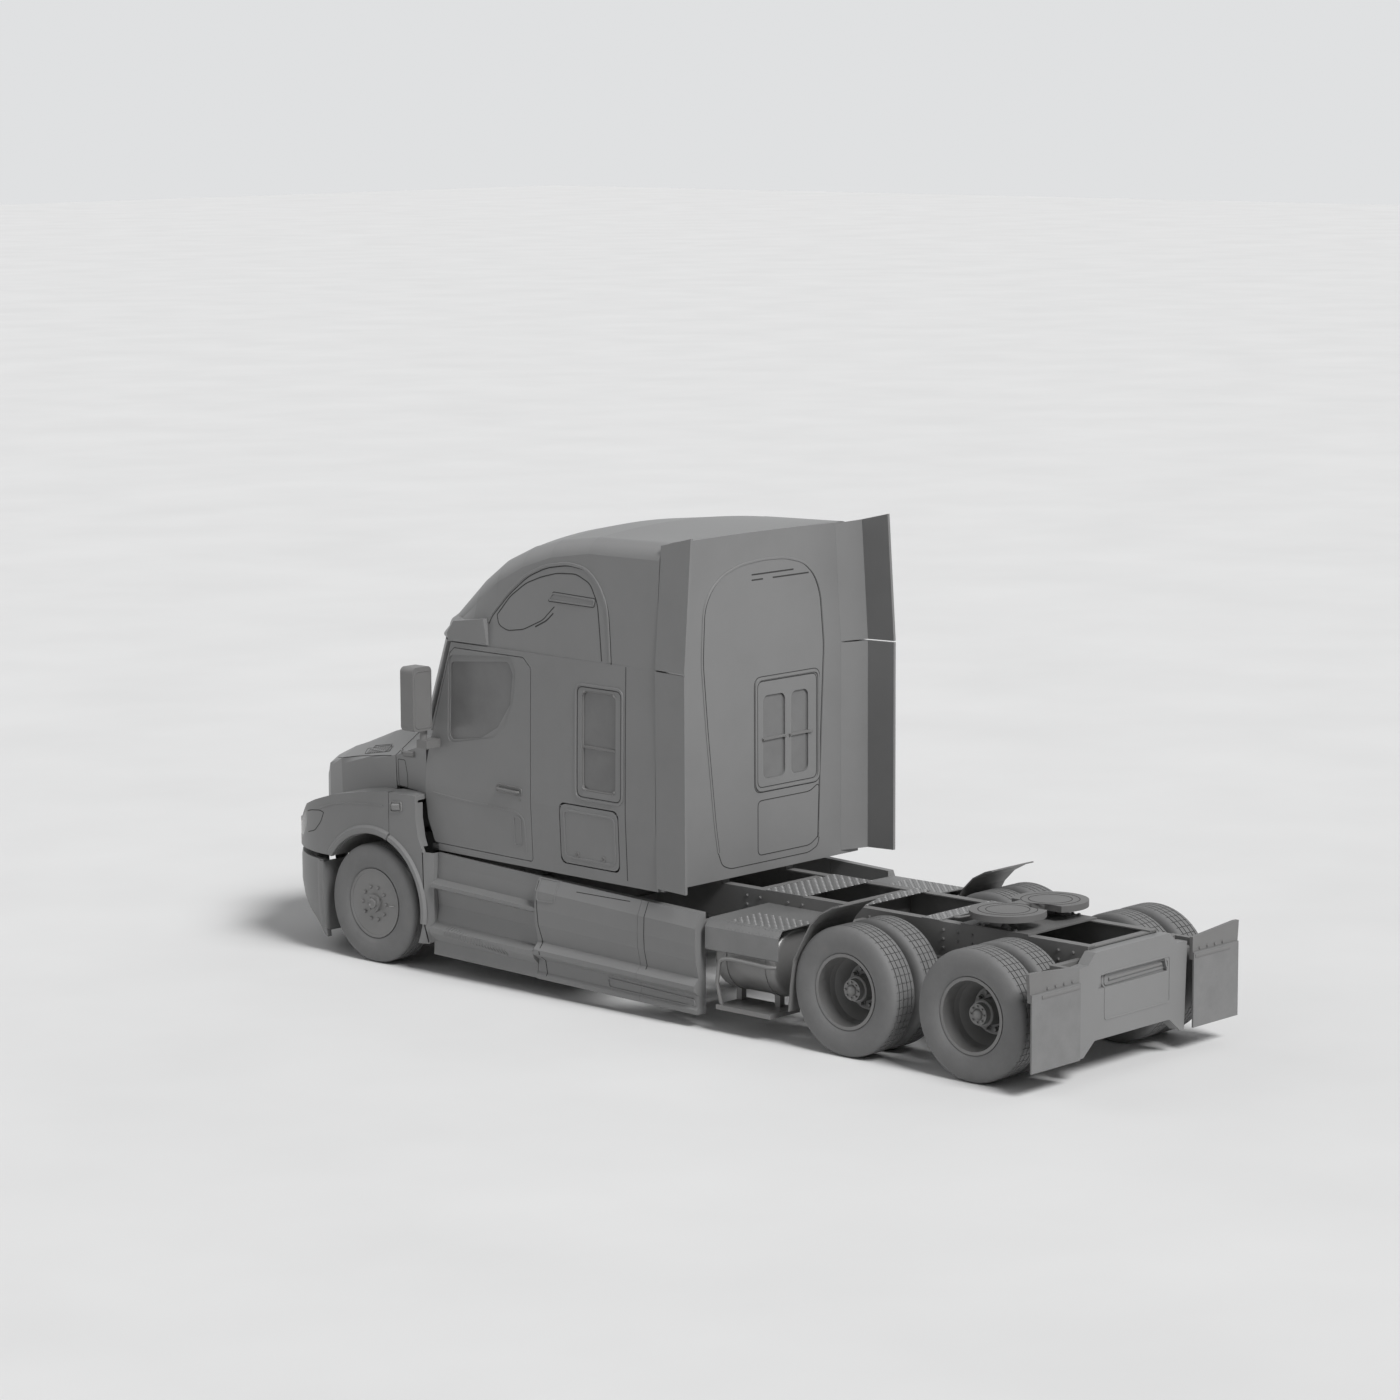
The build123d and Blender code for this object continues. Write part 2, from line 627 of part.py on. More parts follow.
skin_left = side_skin(0.0, cab_wall)
glass_left = side_skin(cab_wall * 0.4, glass_wall)
door_panel = cut_panel(skin_left, door_points, door_corner, [(window_points, window_corner)])
with BuildPart() as window_recess:
    add(side_skin(-overrun, overrun + recess_depth).part)
    add(side_slab(recess_points, 0, cab_rear_half + overrun, recess_corner).part, mode=Mode.INTERSECT)
with BuildPart() as door_left:
    add(door_panel.part)
    add(window_recess.part, mode=Mode.SUBTRACT)
    for height in hinge_heights:
        add(block((0, hinge_pocket_outer), (0, hinge_pocket_rear),
                  (height - hinge_pocket_gap, height + hinge_height + hinge_pocket_gap)).part, mode=Mode.SUBTRACT)
        with BuildSketch(Plane.XY.offset(height + hinge_height)):
            with Locations((hinge_x, at(hinge_station))):
                Circle(hinge_pin_radius + shaft_clearance)
        extrude(amount=hinge_pocket_gap + hinge_pin_length, mode=Mode.SUBTRACT)
keep(door_left, "door_left")
keep(mirrored(door_left), "door_right")


def glazed(points, corner):
    """Glass that fills a window of the left wall with a small gap."""
    inner = [(station, height) for station, height in points]
    with BuildPart() as pane:
        add(glass_left.part)
        with BuildSketch(beside(0)) as face:
            outline(side_points(inner))
            fillet(face.vertices(), corner)
            offset(amount=-seat_gap, mode=Mode.REPLACE)
        extrude(amount=cab_rear_half + overrun, mode=Mode.INTERSECT)
    return pane


door_glass_left = glazed(window_points, window_corner)
keep(door_glass_left, "door_glass_left")
keep(mirrored(door_glass_left), "door_glass_right")

luggage_panel = cut_panel(skin_left, rectangle(luggage_door), luggage_corner, [])
with BuildPart() as luggage_door_left:
    add(luggage_panel.part)
    add(luggage_pins(luggage_pin_radius + shaft_clearance, seat_gap).part, mode=Mode.SUBTRACT)
keep(luggage_door_left, "luggage_door_left")
keep(mirrored(luggage_door_left), "luggage_door_right")


def grown(points, corner, amount):
    """A slab wider than its outline by an even amount all round."""
    with BuildPart() as slab:
        with BuildSketch(beside(0)) as face:
            outline(side_points(points))
            fillet(face.vertices(), corner)
            offset(amount=amount, mode=Mode.REPLACE)
        extrude(amount=cab_rear_half + overrun)
    return slab


pillar_overlap = 60.0
pillar_foot_edge = pillar_foot_station + pillar_overlap
pillar_head_edge = pillar_head_station + pillar_overlap
side_foot_station = 700.0
with BuildPart() as cab_side_left:
    add(skin_left.part)
    add(grown(door_points, door_corner, panel_gap).part, mode=Mode.SUBTRACT)
    add(grown(rectangle(luggage_door), luggage_room_corner, luggage_gap).part, mode=Mode.SUBTRACT)
    add(luggage_pins(luggage_pin_radius, 0.0).part)
    add(side_slab(rectangle(sleeper_window), 0, cab_rear_half + overrun, sleeper_corner).part, mode=Mode.SUBTRACT)
    add(side_slab([(0, cab_sill - overrun), (side_foot_station, cab_sill - overrun), (side_foot_station, cab_glass_line),
                   (pillar_foot_edge, cab_glass_line), (pillar_head_edge, roof_seam), (pillar_head_edge, roof_seam + overrun),
                   (0, roof_seam + overrun)],
                  0, cab_rear_half + overrun).part, mode=Mode.SUBTRACT)
keep(both_sides(cab_side_left), "cab_sides")

sleeper_glass_left = glazed(rectangle(sleeper_window), sleeper_corner)

# Roof cap: stations with half widths and heights of its base, shoulder, upper edge and crown
roof_wall = 40.0
roof_sections = [
    # station, base half, shoulder half, shoulder rise, edge half, edge rise, crown rise
    (cab_rear_station, 1218.0, 1176.0, 866.0, 1010.0, 998.0, 1008.0),
    (2500.0, 1192.0, 1144.0, 858.0, 965.0, 984.0, 1040.0),
    (2050.0, 1171.0, 1118.0, 790.0, 930.0, 928.0, 998.0),
    (1700.0, 1152.0, 1092.0, 682.0, 890.0, 842.0, 928.0),
    (1380.0, 1136.0, 1066.0, 530.0, 850.0, 715.0, 830.0),
    (1100.0, 1118.0, 1030.0, 325.0, 800.0, 548.0, 690.0),
    (640.0, 1060.0, 890.0, 50.0, 680.0, 214.0, 440.0),
    (250.0, 800.0, 640.0, 20.0, 500.0, 36.0, 190.0)]
corner_bulge_share = 0.17
corner_wall_share = 0.6
roof_top_rise = max(section[6] for section in roof_sections)
roof_front_half = 1124.0
roof_front_station = 880.0
roof_front_sagitta = 600.0


def roof_section_points(section, wall, base_height):
    """Left half of a roof section: base, shoulder, corner middle, edge and crown points."""
    station, base, shoulder, shoulder_rise, edge, edge_rise, crown_rise = section
    low = (shoulder - wall, roof_seam + shoulder_rise)
    high = (edge - wall * corner_wall_share, roof_seam + edge_rise - wall)
    middle = ((low[0] + high[0]) / 2 + corner_bulge_share * (high[1] - low[1]),
              (low[1] + high[1]) / 2 + corner_bulge_share * (low[0] - high[0]))
    return (base - wall, base_height), low, middle, high, (0, roof_seam + crown_rise - wall)


def roof_face(section, wall, base_height):
    """Section of the roof as a face in the current sketch."""
    foot, low, middle, high, crown = roof_section_points(section, wall, base_height)
    with BuildLine(mode=Mode.PRIVATE) as edge_loop:
        Line(foot, low)
        ThreePointArc(low, middle, high)
        ThreePointArc(high, crown, (-high[0], high[1]))
        ThreePointArc((-high[0], high[1]), (-middle[0], middle[1]), (-low[0], low[1]))
        Line((-low[0], low[1]), (-foot[0], foot[1]))
        Line((-foot[0], foot[1]), foot)
    make_face(edge_loop.edges())


def roof_solid(wall, base_height):
    """The roof's form under its outer surface by one wall, or the surface itself at no wall."""
    with BuildPart() as form:
        for section in roof_sections:
            with BuildSketch(across(section[0])):
                roof_face(section, wall, base_height)
        loft(ruled=True)
        with BuildSketch(Plane.XY.offset(base_height)):
            rear_y = at(cab_rear_station + overrun)
            half = cab_rear_half + overrun
            arc_half = roof_front_half - wall
            front_y = at(roof_front_station)
            with BuildLine(mode=Mode.PRIVATE) as edge_loop:
                ThreePointArc((arc_half, front_y), (0, front_y - roof_front_sagitta + wall), (-arc_half, front_y))
                Polyline((-arc_half, front_y), (-half, front_y), (-half, rear_y), (half, rear_y),
                         (half, front_y), (arc_half, front_y))
            make_face(edge_loop.edges())
        extrude(amount=roof_seam + roof_top_rise - base_height + overrun, mode=Mode.INTERSECT)
    return form


roof_outer = roof_solid(0.0, roof_seam)
with BuildPart() as roof_cap:
    add(roof_outer.part)
    add(roof_solid(roof_wall, roof_seam - overrun).part, mode=Mode.SUBTRACT)
keep(roof_cap, "roof_cap")

# Sun visor: a curved band above the windscreen, carried on the roof cap
visor_low = roof_seam + 12.0
visor_high = 3010.0
visor_wall = 26.0
visor_levels = [
    # height, half width, station of its ends, sagitta
    (visor_low, 1150.0, 1000.0, 830.0), (visor_high, 1130.0, 1120.0, 770.0)]
visor_wing_points = [(880.0, visor_low), (866.0, 2908.0), (945.0, visor_high), (1294.0, 3055.0), (1338.0, visor_low)]
visor_wing_inner = 900.0
visor_wing_outer = 1152.0
with BuildPart() as sun_visor:
    for height, half, station, sagitta in visor_levels:
        with BuildSketch(Plane.XY.offset(height)):
            inner = half - visor_wall
            with BuildLine(mode=Mode.PRIVATE) as edge_loop:
                ThreePointArc((half, at(station)), (0, at(station) - sagitta), (-half, at(station)))
                Line((-half, at(station)), (-inner, at(station)))
                ThreePointArc((-inner, at(station)), (0, at(station) - sagitta + visor_wall), (inner, at(station)))
                Line((inner, at(station)), (half, at(station)))
            make_face(edge_loop.edges())
    loft(ruled=True)
    for side in (1, -1):
        wing = side_slab(visor_wing_points, visor_wing_inner, visor_wing_outer)
        add(wing.part if side > 0 else mirrored(wing).part)
    add(roof_outer.part, mode=Mode.SUBTRACT)
keep(sun_visor, "sun_visor")

# Back wall behind the sleeper and the roof cap, with two window panes
back_wall_rear = cab_rear_station + 42.0
back_wall_front = cab_rear_station + seat_gap
back_wall_inset = 52.0
back_wall_corner_trim = 68.0
back_panes = [(-268.0, 0.0), (-554.0, -344.0)]
back_pane_low = 1803.0
back_pane_high = 2490.0
back_pane_corner = 55.0
with BuildPart() as back_wall:
    with BuildSketch(across(back_wall_rear)):
        foot, low, middle, high, crown = roof_section_points(roof_sections[0], 0.0, roof_seam)
        half = cab_rear_half - back_wall_inset
        trim = back_wall_corner_trim
        with BuildLine(mode=Mode.PRIVATE) as edge_loop:
            Polyline((-(low[0] - trim), low[1]), (-half, roof_seam), (-half, cab_sill), (half, cab_sill),
                     (half, roof_seam), (low[0] - trim, low[1]))
            ThreePointArc((low[0] - trim, low[1]), (middle[0] - trim, middle[1]), (high[0] - trim, high[1]))
            ThreePointArc((high[0] - trim, high[1]), crown, (-(high[0] - trim), high[1]))
            ThreePointArc((-(high[0] - trim), high[1]), (-(middle[0] - trim), middle[1]), (-(low[0] - trim), low[1]))
        make_face(edge_loop.edges())
    extrude(amount=back_wall_rear - back_wall_front)
    with BuildSketch(across(back_wall_rear)) as panes:
        for pane_left, pane_right in back_panes:
            outline([(pane_left, back_pane_low), (pane_right, back_pane_low), (pane_right, back_pane_high),
                     (pane_left, back_pane_high)])
        fillet(panes.vertices(), back_pane_corner)
    extrude(amount=back_wall_rear - back_wall_front, mode=Mode.SUBTRACT)
keep(back_wall, "back_wall")
with BuildPart() as back_glass:
    with BuildSketch(across(back_wall_rear - cab_wall * 0.4)) as panes:
        for pane_left, pane_right in back_panes:
            outline([(pane_left + seat_gap, back_pane_low + seat_gap), (pane_right - seat_gap, back_pane_low + seat_gap),
                     (pane_right - seat_gap, back_pane_high - seat_gap), (pane_left + seat_gap, back_pane_high - seat_gap)])
        fillet(panes.vertices(), back_pane_corner - seat_gap)
    extrude(amount=glass_wall)

# Floor with its mounts on the rails
cowl_rear = cab_front_station - 16.0
firewall_wall = 30.0
firewall_rear = cowl_rear + firewall_wall
floor_wall = 40.0
cab_mount_stations = (720.0, 2000.0, 3180.0)
cab_mount_length = 110.0
with BuildPart() as cab_floor:
    with BuildSketch(Plane.XY.offset(cab_sill)):
        edge = skin_line(sill_inset + cab_wall + seat_gap)
        with BuildLine(mode=Mode.PRIVATE) as edge_loop:
            ThreePointArc(*edge)
            Line(edge[2], (-edge[2][0], edge[2][1]))
            ThreePointArc(*[(-x, y) for x, y in reversed(edge)])
            Line((-edge[0][0], edge[0][1]), edge[0])
        make_face(edge_loop.edges())
    extrude(amount=floor_wall)
    add(block((-cab_rear_half, cab_rear_half), (0, firewall_rear + seat_gap), (cab_sill - overrun, cab_sill + overrun)).part,
        mode=Mode.SUBTRACT)
    for side in (1, -1):
        for station in cab_mount_stations:
            inner_x, outer_x = sorted((side * (rail_half_width - rail_flange), side * rail_half_width))
            add(block((inner_x, outer_x), (station, station + cab_mount_length),
                      (rail_top, cab_sill)).part)
keep(cab_floor, "cab_floor")

# Hood pivots at the rails' front ends, and the hood's arms down to them
pivot_station = -1250.0
pivot_height = 520.0
pivot_radius = 16.0
pivot_plate = 28.0
arm_inner_x = 394.0
arm_outer_x = 424.0
arm_room = 8.0
arm_points = [(-1432.0, 866.0), (-1432.0, 898.0), (-1375.0, 898.0), (-1215.0, 560.0), (-1212.0, 500.0),
              (-1250.0, 482.0), (-1285.0, 505.0), (-1290.0, 570.0), (-1400.0, 830.0)]

# Hood: stations with the heights and half widths of its centre, crown edge, crease and waist
hood_wall = 35.0
hood_rear = 60.0
hood_sections = [
    # station, centre height, crown half, crown height, crease half, crease height, waist half, waist height
    (hood_rear, 2050.0, 600.0, 2005.0, 1000.0, 1770.0, 990.0, 1440.0),
    (-400.0, 1912.0, 560.0, 1875.0, 865.0, 1690.0, 850.0, 1360.0),
    (-950.0, 1712.0, 520.0, 1680.0, 700.0, 1592.0, 690.0, 1200.0),
    (-1250.0, 1590.0, 450.0, 1560.0, 560.0, 1500.0, 560.0, 1100.0),
    (-1470.0, 1440.0, 320.0, 1410.0, 385.0, 1360.0, 390.0, 1050.0)]
hood_base = 864.0
hood_notch_half = 1042.0
fender_rear = 215.0
fender_half = 1240.0
fender_profile = [(-1500.0, hood_base), (-1500.0, 1010.0), (-1030.0, 1130.0), (-890.0, 1262.0), (-720.0, 1325.0),
                  (-470.0, 1400.0), (-120.0, 1462.0), (fender_rear, 1500.0), (fender_rear, hood_base)]
arch_radius = 618.0
nose_side_station = -600.0
nose_corner = (1050.0, -1095.0)
nose_flat = (640.0, -1405.0)


def nose_face(half, wall, rear_station, lean=0.0):
    """Plan of the nose inside its outer line by one wall, from a rear station forward."""
    corner = (nose_corner[0] - wall, at(nose_corner[1]) + wall + lean)
    flat = (nose_flat[0] - wall * 0.4, at(nose_flat[1]) + wall + lean)
    side_y = at(nose_side_station)
    tip = (0, at(-front_overhang) + wall + lean)
    edge_half = half - wall
    with BuildLine(mode=Mode.PRIVATE) as edge_loop:
        Polyline((-edge_half, side_y), (-edge_half, at(rear_station)), (edge_half, at(rear_station)), (edge_half, side_y))
        ThreePointArc((edge_half, side_y), corner, flat)
        ThreePointArc(flat, tip, (-flat[0], flat[1]))
        ThreePointArc((-flat[0], flat[1]), (-corner[0], corner[1]), (-edge_half, side_y))
    make_face(edge_loop.edges())


def hood_solid(wall, base_height):
    """The hood with its fenders as one form, under the outer surface by one wall."""
    with BuildPart() as form:
        for station, centre, crown_half, crown, crease_half, crease, waist_half, waist in hood_sections:
            with BuildSketch(across(station)):
                right = [(crown_half, crown - wall), (crease_half - wall, crease - wall * 0.8),
                         (waist_half - wall, waist), (waist_half - wall, base_height)]
                outline([(0, centre - wall)] + right + [(-x, z) for x, z in reversed(right)])
        loft(ruled=True)
        with BuildSketch(beside(-(fender_half - wall))):
            outline(side_points([(station, height if height == hood_base else height - wall)
                                 for station, height in fender_profile]))
        extrude(amount=2 * (fender_half - wall))
        with BuildSketch(Plane.XY.offset(base_height - overrun)):
            nose_face(fender_half, wall, fender_rear + overrun)
        extrude(amount=cab_glass_line - base_height + 2 * overrun, mode=Mode.INTERSECT)
    return form


hood_outer = hood_solid(0.0, hood_base)
hood_inner = hood_solid(hood_wall, hood_base)
with BuildPart() as hood_shell:
    add(hood_outer.part)
    add(hood_inner.part, mode=Mode.SUBTRACT)
    with BuildSketch(beside(-fender_half - overrun)):
        with Locations((at(0), tyre_radius)):
            Circle(arch_radius)
    extrude(amount=2 * (fender_half + overrun), mode=Mode.SUBTRACT)
    add(block((-hood_notch_half, hood_notch_half), (hood_rear, fender_rear + overrun),
              (hood_base - overrun, cab_glass_line)).part, mode=Mode.SUBTRACT)

grille_points = [(-420.0, 900.0), (420.0, 900.0), (330.0, 1330.0), (-330.0, 1330.0)]
grille_corner = 60.0
lamp_points = [(-1430.0, 960.0), (-1000.0, 960.0), (-895.0, 1080.0), (-905.0, 1205.0), (-1075.0, 1075.0), (-1430.0, 1040.0)]
lamp_inner_x = 560.0


def lamp_slab(amount):
    """The left headlamp's outline through the hood's corner, grown by an amount."""
    with BuildPart() as slab:
        with BuildSketch(beside(lamp_inner_x - amount)):
            outline(side_points(lamp_points))
            offset(amount=amount, mode=Mode.REPLACE)
        extrude(amount=fender_half + overrun - lamp_inner_x + amount)
    return slab


def grille_prism(amount):
    """The grille's outline run through the nose, shrunk by an amount."""
    with BuildPart() as prism:
        with BuildSketch(across(-1000.0)) as face:
            outline(grille_points)
            fillet(face.vertices(), grille_corner)
            offset(amount=-amount, mode=Mode.REPLACE)
        extrude(amount=front_overhang)
    return prism


with BuildPart() as headlamp_left:
    add(hood_shell.part)
    add(lamp_slab(-seat_gap).part, mode=Mode.INTERSECT)
with BuildPart() as hood:
    add(hood_shell.part)
    for side in (1, -1):
        arm_start = arm_inner_x if side > 0 else -arm_outer_x
        with BuildSketch(beside(arm_start)):
            outline(side_points(arm_points))
        extrude(amount=arm_outer_x - arm_inner_x)
        pin_start, pin_end = sorted((side * arm_inner_x, side * (rail_half_width + seat_gap + pivot_plate)))
        with BuildSketch(Plane(origin=(pin_start, at(pivot_station), pivot_height), z_dir=(1, 0, 0))):
            Circle(pivot_radius)
        extrude(amount=pin_end - pin_start)
    add(lamp_slab(0.0).part, mode=Mode.SUBTRACT)
    add(mirrored(lamp_slab(0.0)).part, mode=Mode.SUBTRACT)
    add(grille_prism(0.0).part, mode=Mode.SUBTRACT)
keep(hood, "hood")
keep(both_sides(headlamp_left), "headlamps")

slat_count = 8
slat_height = 22.0
grille_frame = 30.0
grille_pitch = (grille_points[2][1] - grille_points[1][1] - 2 * grille_frame + slat_height) / (slat_count + 1)
with BuildPart() as grille:
    add(hood_shell.part)
    add(grille_prism(seat_gap).part, mode=Mode.INTERSECT)
    with BuildSketch(across(-1000.0)):
        for row in range(slat_count + 1):
            slot_low = grille_points[1][1] + grille_frame + row * grille_pitch
            slot_half = (grille_points[1][0] - grille_frame
                         + (grille_points[2][0] - grille_points[1][0]) * row / (slat_count + 1))
            for side in (1, -1):
                outline([(side * grille_frame / 2, slot_low), (side * slot_half, slot_low),
                         (side * slot_half, slot_low + grille_pitch - slat_height),
                         (side * grille_frame / 2, slot_low + grille_pitch - slat_height)])
    extrude(amount=front_overhang, mode=Mode.SUBTRACT)
keep(grille, "grille")

# Cowl between the hood and the doors, under the windscreen
cowl_front = hood_rear + panel_gap
cowl_low = 1508.0
cowl_sections = [
    (cowl_front, 2046.0, 600.0, 2003.0, 1000.0, 1768.0, 990.0),
    (cowl_rear, 2052.0, 700.0, 2046.0, 1105.0, 1930.0, 1100.0)]


def cowl_solid(wall, base_height):
    """The cowl's form under its outer surface by one wall."""
    with BuildPart() as form:
        for station, centre, crown_half, crown, crease_half, crease, waist_half in cowl_sections:
            with BuildSketch(across(station)):
                right = [(crown_half, crown - wall), (crease_half - wall, crease - wall), (waist_half - wall, base_height)]
                outline([(0, centre - wall)] + right + [(-x, z) for x, z in reversed(right)])
        loft(ruled=True)
    return form


with BuildPart() as cowl:
    add(cowl_solid(0.0, cowl_low).part)
    add(cowl_solid(hood_wall, cowl_low).part, mode=Mode.SUBTRACT)
    with BuildSketch(across(cowl_rear + firewall_wall)):
        foot_half = cab_front_half - sill_inset - cab_wall - overrun
        outline([(-foot_half, cab_sill), (foot_half, cab_sill), (foot_half, 2040.0), (-foot_half, 2040.0)])
    extrude(amount=firewall_wall + seat_gap)
    for side in (1, -1):
        for height in hinge_heights:
            with BuildSketch(Plane.XY.offset(height)):
                outline([(side * x, at(station)) for x, station in (
                    (foot_half - firewall_wall, cowl_rear + seat_gap), (hinge_x - hinge_swing, cowl_rear + seat_gap),
                    (hinge_x - hinge_swing, hinge_station - hinge_pin_radius),
                    (hinge_x + hinge_pin_radius, hinge_station - hinge_pin_radius),
                    (hinge_x + hinge_pin_radius, hinge_station + hinge_pin_radius),
                    (hinge_x - hinge_swing - firewall_wall / 2, hinge_station + hinge_pin_radius),
                    (foot_half - firewall_wall, cowl_rear + firewall_wall))])
            extrude(amount=hinge_height)
            with BuildSketch(Plane.XY.offset(height + hinge_height)):
                with Locations((side * hinge_x, at(hinge_station))):
                    Circle(hinge_pin_radius)
            extrude(amount=hinge_pin_length)
keep(cowl, "cowl")

# Windscreen surround and glass
screen_points_share = [(-0.93, 0.09), (0.93, 0.09), (0.88, 0.9), (-0.88, 0.9)]
screen_corner = 80.0


def screen_prism(amount):
    """The windscreen's opening run through the front of the cab."""
    with BuildPart() as prism:
        with BuildSketch(across(pillar_head_station)) as face:
            outline([(x * pillar_head_half, cab_glass_line + z * (roof_seam - cab_glass_line))
                     for x, z in screen_points_share])
            fillet(face.vertices(), screen_corner)
            offset(amount=-amount, mode=Mode.REPLACE)
        extrude(amount=pillar_head_station + overrun * 4)
    return prism


with BuildPart() as screen_frame:
    add(front_skin(0.0, cab_wall).part)
    add(screen_prism(0.0).part, mode=Mode.SUBTRACT)
keep(screen_frame, "windscreen_frame")
with BuildPart() as windscreen:
    add(front_skin(cab_wall * 0.3, glass_wall).part)
    add(screen_prism(seat_gap).part, mode=Mode.INTERSECT)
keep(together(windscreen, back_glass, both_sides(sleeper_glass_left)), "fixed_glass")

# Bumper: levels with the inset of its nose from the hood's plan line
bumper_wall = 45.0
bumper_rear = -570.0
intake_points = [(-450.0, 400.0), (450.0, 400.0), (470.0, 690.0), (-470.0, 690.0)]
intake_corner = 40.0
slot_foot = 640.0
bumper_face_inset = 6.0
bumper_levels = [
    # height, inset
    (132.0, 255.0), (215.0, 195.0), (319.0, 92.0), (414.0, 40.0), (560.0, bumper_face_inset),
    (768.0, bumper_face_inset), (812.0, 18.0)]


def bumper_solid(wall):
    """The bumper's form, under its outer surface by one wall."""
    with BuildPart() as form:
        for height, inset in bumper_levels:
            with BuildSketch(Plane.XY.offset(height)):
                nose_face(fender_half - inset * 0.12, wall, bumper_rear, inset)
        loft(ruled=True)
    return form


with BuildPart() as bumper:
    add(bumper_solid(0.0).part)
    add(bumper_solid(bumper_wall).part, mode=Mode.SUBTRACT)
    add(block((-fender_half, fender_half), (bumper_rear - bumper_wall, bumper_rear + overrun),
              (0, cab_sill)).part, mode=Mode.SUBTRACT)
    with BuildSketch(across(-1000.0)) as face:
        outline(intake_points)
        fillet(face.vertices(), intake_corner)
    extrude(amount=front_overhang, mode=Mode.SUBTRACT)
    for side in (1, -1):
        slot_low_x, slot_high_x = sorted((side * (arm_inner_x - arm_room), side * (arm_outer_x + arm_room)))
        add(block((slot_low_x, slot_high_x), (-front_overhang - overrun, rail_front),
                  (slot_foot, hood_base)).part, mode=Mode.SUBTRACT)
keep(bumper, "bumper")

# Fixed rear part of each front fender, between the hood and the door
extension_front = fender_rear + panel_gap
extension_rear = 544.0
extension_wall = 32.0
extension_foot = 250.0
with BuildPart() as extension_form:
    with BuildSketch(beside(fender_half - extension_wall)):
        outline(side_points([
            (extension_front, hood_base), (extension_front, 1494.0), (extension_rear, 1500.0), (extension_rear, 1310.0),
            (572.0, 1150.0), (630.0, 1030.0), (645.0, 414.0), (700.0, 260.0), (600.0, extension_foot), (400.0, extension_foot)]))
    extrude(amount=extension_wall)
    with BuildSketch(beside(0)):
        with Locations((at(0), tyre_radius)):
            Circle(arch_radius)
    extrude(amount=fender_half + overrun, mode=Mode.SUBTRACT)
    with BuildSketch(across(extension_rear)):
        outline([(1070.0, cowl_low - 40.0), (1070.0, cowl_low - seat_gap), (fender_half, 1494.0), (fender_half, 1460.0)])
    extrude(amount=extension_rear - extension_front)
keep(both_sides(extension_form), "fender_rears")

# Side skirts: one section at the front step well and one behind it, each from front to rear heights
skirt_front = 722.0
skirt_step_end = 1950.0
skirt_seam = 3110.0
skirt_rear = 3738.0
skirt_top = (1030.0, 929.0)
skirt_belt = (934.0, 808.0)
skirt_ledge = (431.0, 330.0)
skirt_foot = (172.0, 111.0)
step_well_rows = [
    # x of the outer line, height as a share from foot to belt
    (1212.0, 0.0), (1205.0, 0.16), (1262.0, 0.25), (1258.0, 0.31), (1172.0, 0.36), (1150.0, 0.55), (1168.0, 0.72),
    (1240.0, 0.76), (1240.0, 0.80), (1160.0, 0.84), (1152.0, 1.0)]
skirt_rows = [
    (1226.0, 0.0), (1226.0, 0.05), (1206.0, 0.08), (1202.0, 0.22), (1262.0, 0.28), (1262.0, 0.34), (1205.0, 0.42),
    (1240.0, 0.62), (1246.0, 0.8), (1240.0, 1.0)]
skirt_inner = 1120.0
skirt_top_x = 1186.0


def skirt_height(ends, station):
    """Height along the skirt's whole length, from a pair of front and rear heights."""
    return ends[0] + (ends[1] - ends[0]) * (station - skirt_front) / (skirt_rear - skirt_front)


def skirt_section(rows, station, top_x):
    """Points of the skirt's section at a station."""
    foot, belt = skirt_height(skirt_foot, station), skirt_height(skirt_belt, station)
    top = skirt_height(skirt_top, station)
    outer = [(x, foot + share * (belt - foot)) for x, share in rows]
    return outer + [(top_x, top), (skirt_inner, top), (skirt_inner, foot)]


with BuildPart() as skirt_left:
    for rows, top_x, front, rear in (
            (step_well_rows, skirt_inner + 30.0, skirt_front, skirt_step_end - panel_gap / 2),
            (skirt_rows, skirt_top_x, skirt_step_end, skirt_seam - panel_gap / 2),
            (skirt_rows, skirt_top_x, skirt_seam, skirt_rear)):
        with BuildSketch(across(front)):
            outline(skirt_section(rows, front, top_x))
        with BuildSketch(across(rear)):
            outline(skirt_section(rows, rear, top_x))
        loft(ruled=True)
keep(both_sides(skirt_left), "side_skirts")

# Brackets that carry the skirts from the rails
bracket_stations = (1300.0, 2500.0, 3560.0)
bracket_width = 60.0
bracket_low = 760.0
bracket_high = 820.0
with BuildPart() as skirt_brackets:
    for side in (1, -1):
        for station in bracket_stations:
            inner_x, outer_x = sorted((side * (rail_half_width + seat_gap), side * (skirt_inner - seat_gap)))
            add(block((inner_x, outer_x), (station, station + bracket_width), (bracket_low, bracket_high)).part)
keep(together(crossmembers, skirt_brackets), "crossmembers")

# Fuel tanks behind the skirts, with a strap at each end and a tread cover on top
tank_front = 3830.0
tank_length = 640.0
tank_rear = tank_front + tank_length
tank_radius = 285.0
tank_x = 850.0
tank_height = 590.0
tank_cap_round = 50.0
cover_wall = 8.0
cover_height = 905.0
cover_rear = tank_rear + 90.0
with BuildPart() as fuel_tanks:
    for side in (1, -1):
        with BuildSketch(across(tank_rear)):
            with Locations((side * tank_x, tank_height)):
                Circle(tank_radius)
        extrude(amount=tank_rear - tank_front)
    fillet(fuel_tanks.edges().filter_by(GeomType.CIRCLE), tank_cap_round)
keep(fuel_tanks, "fuel_tanks")

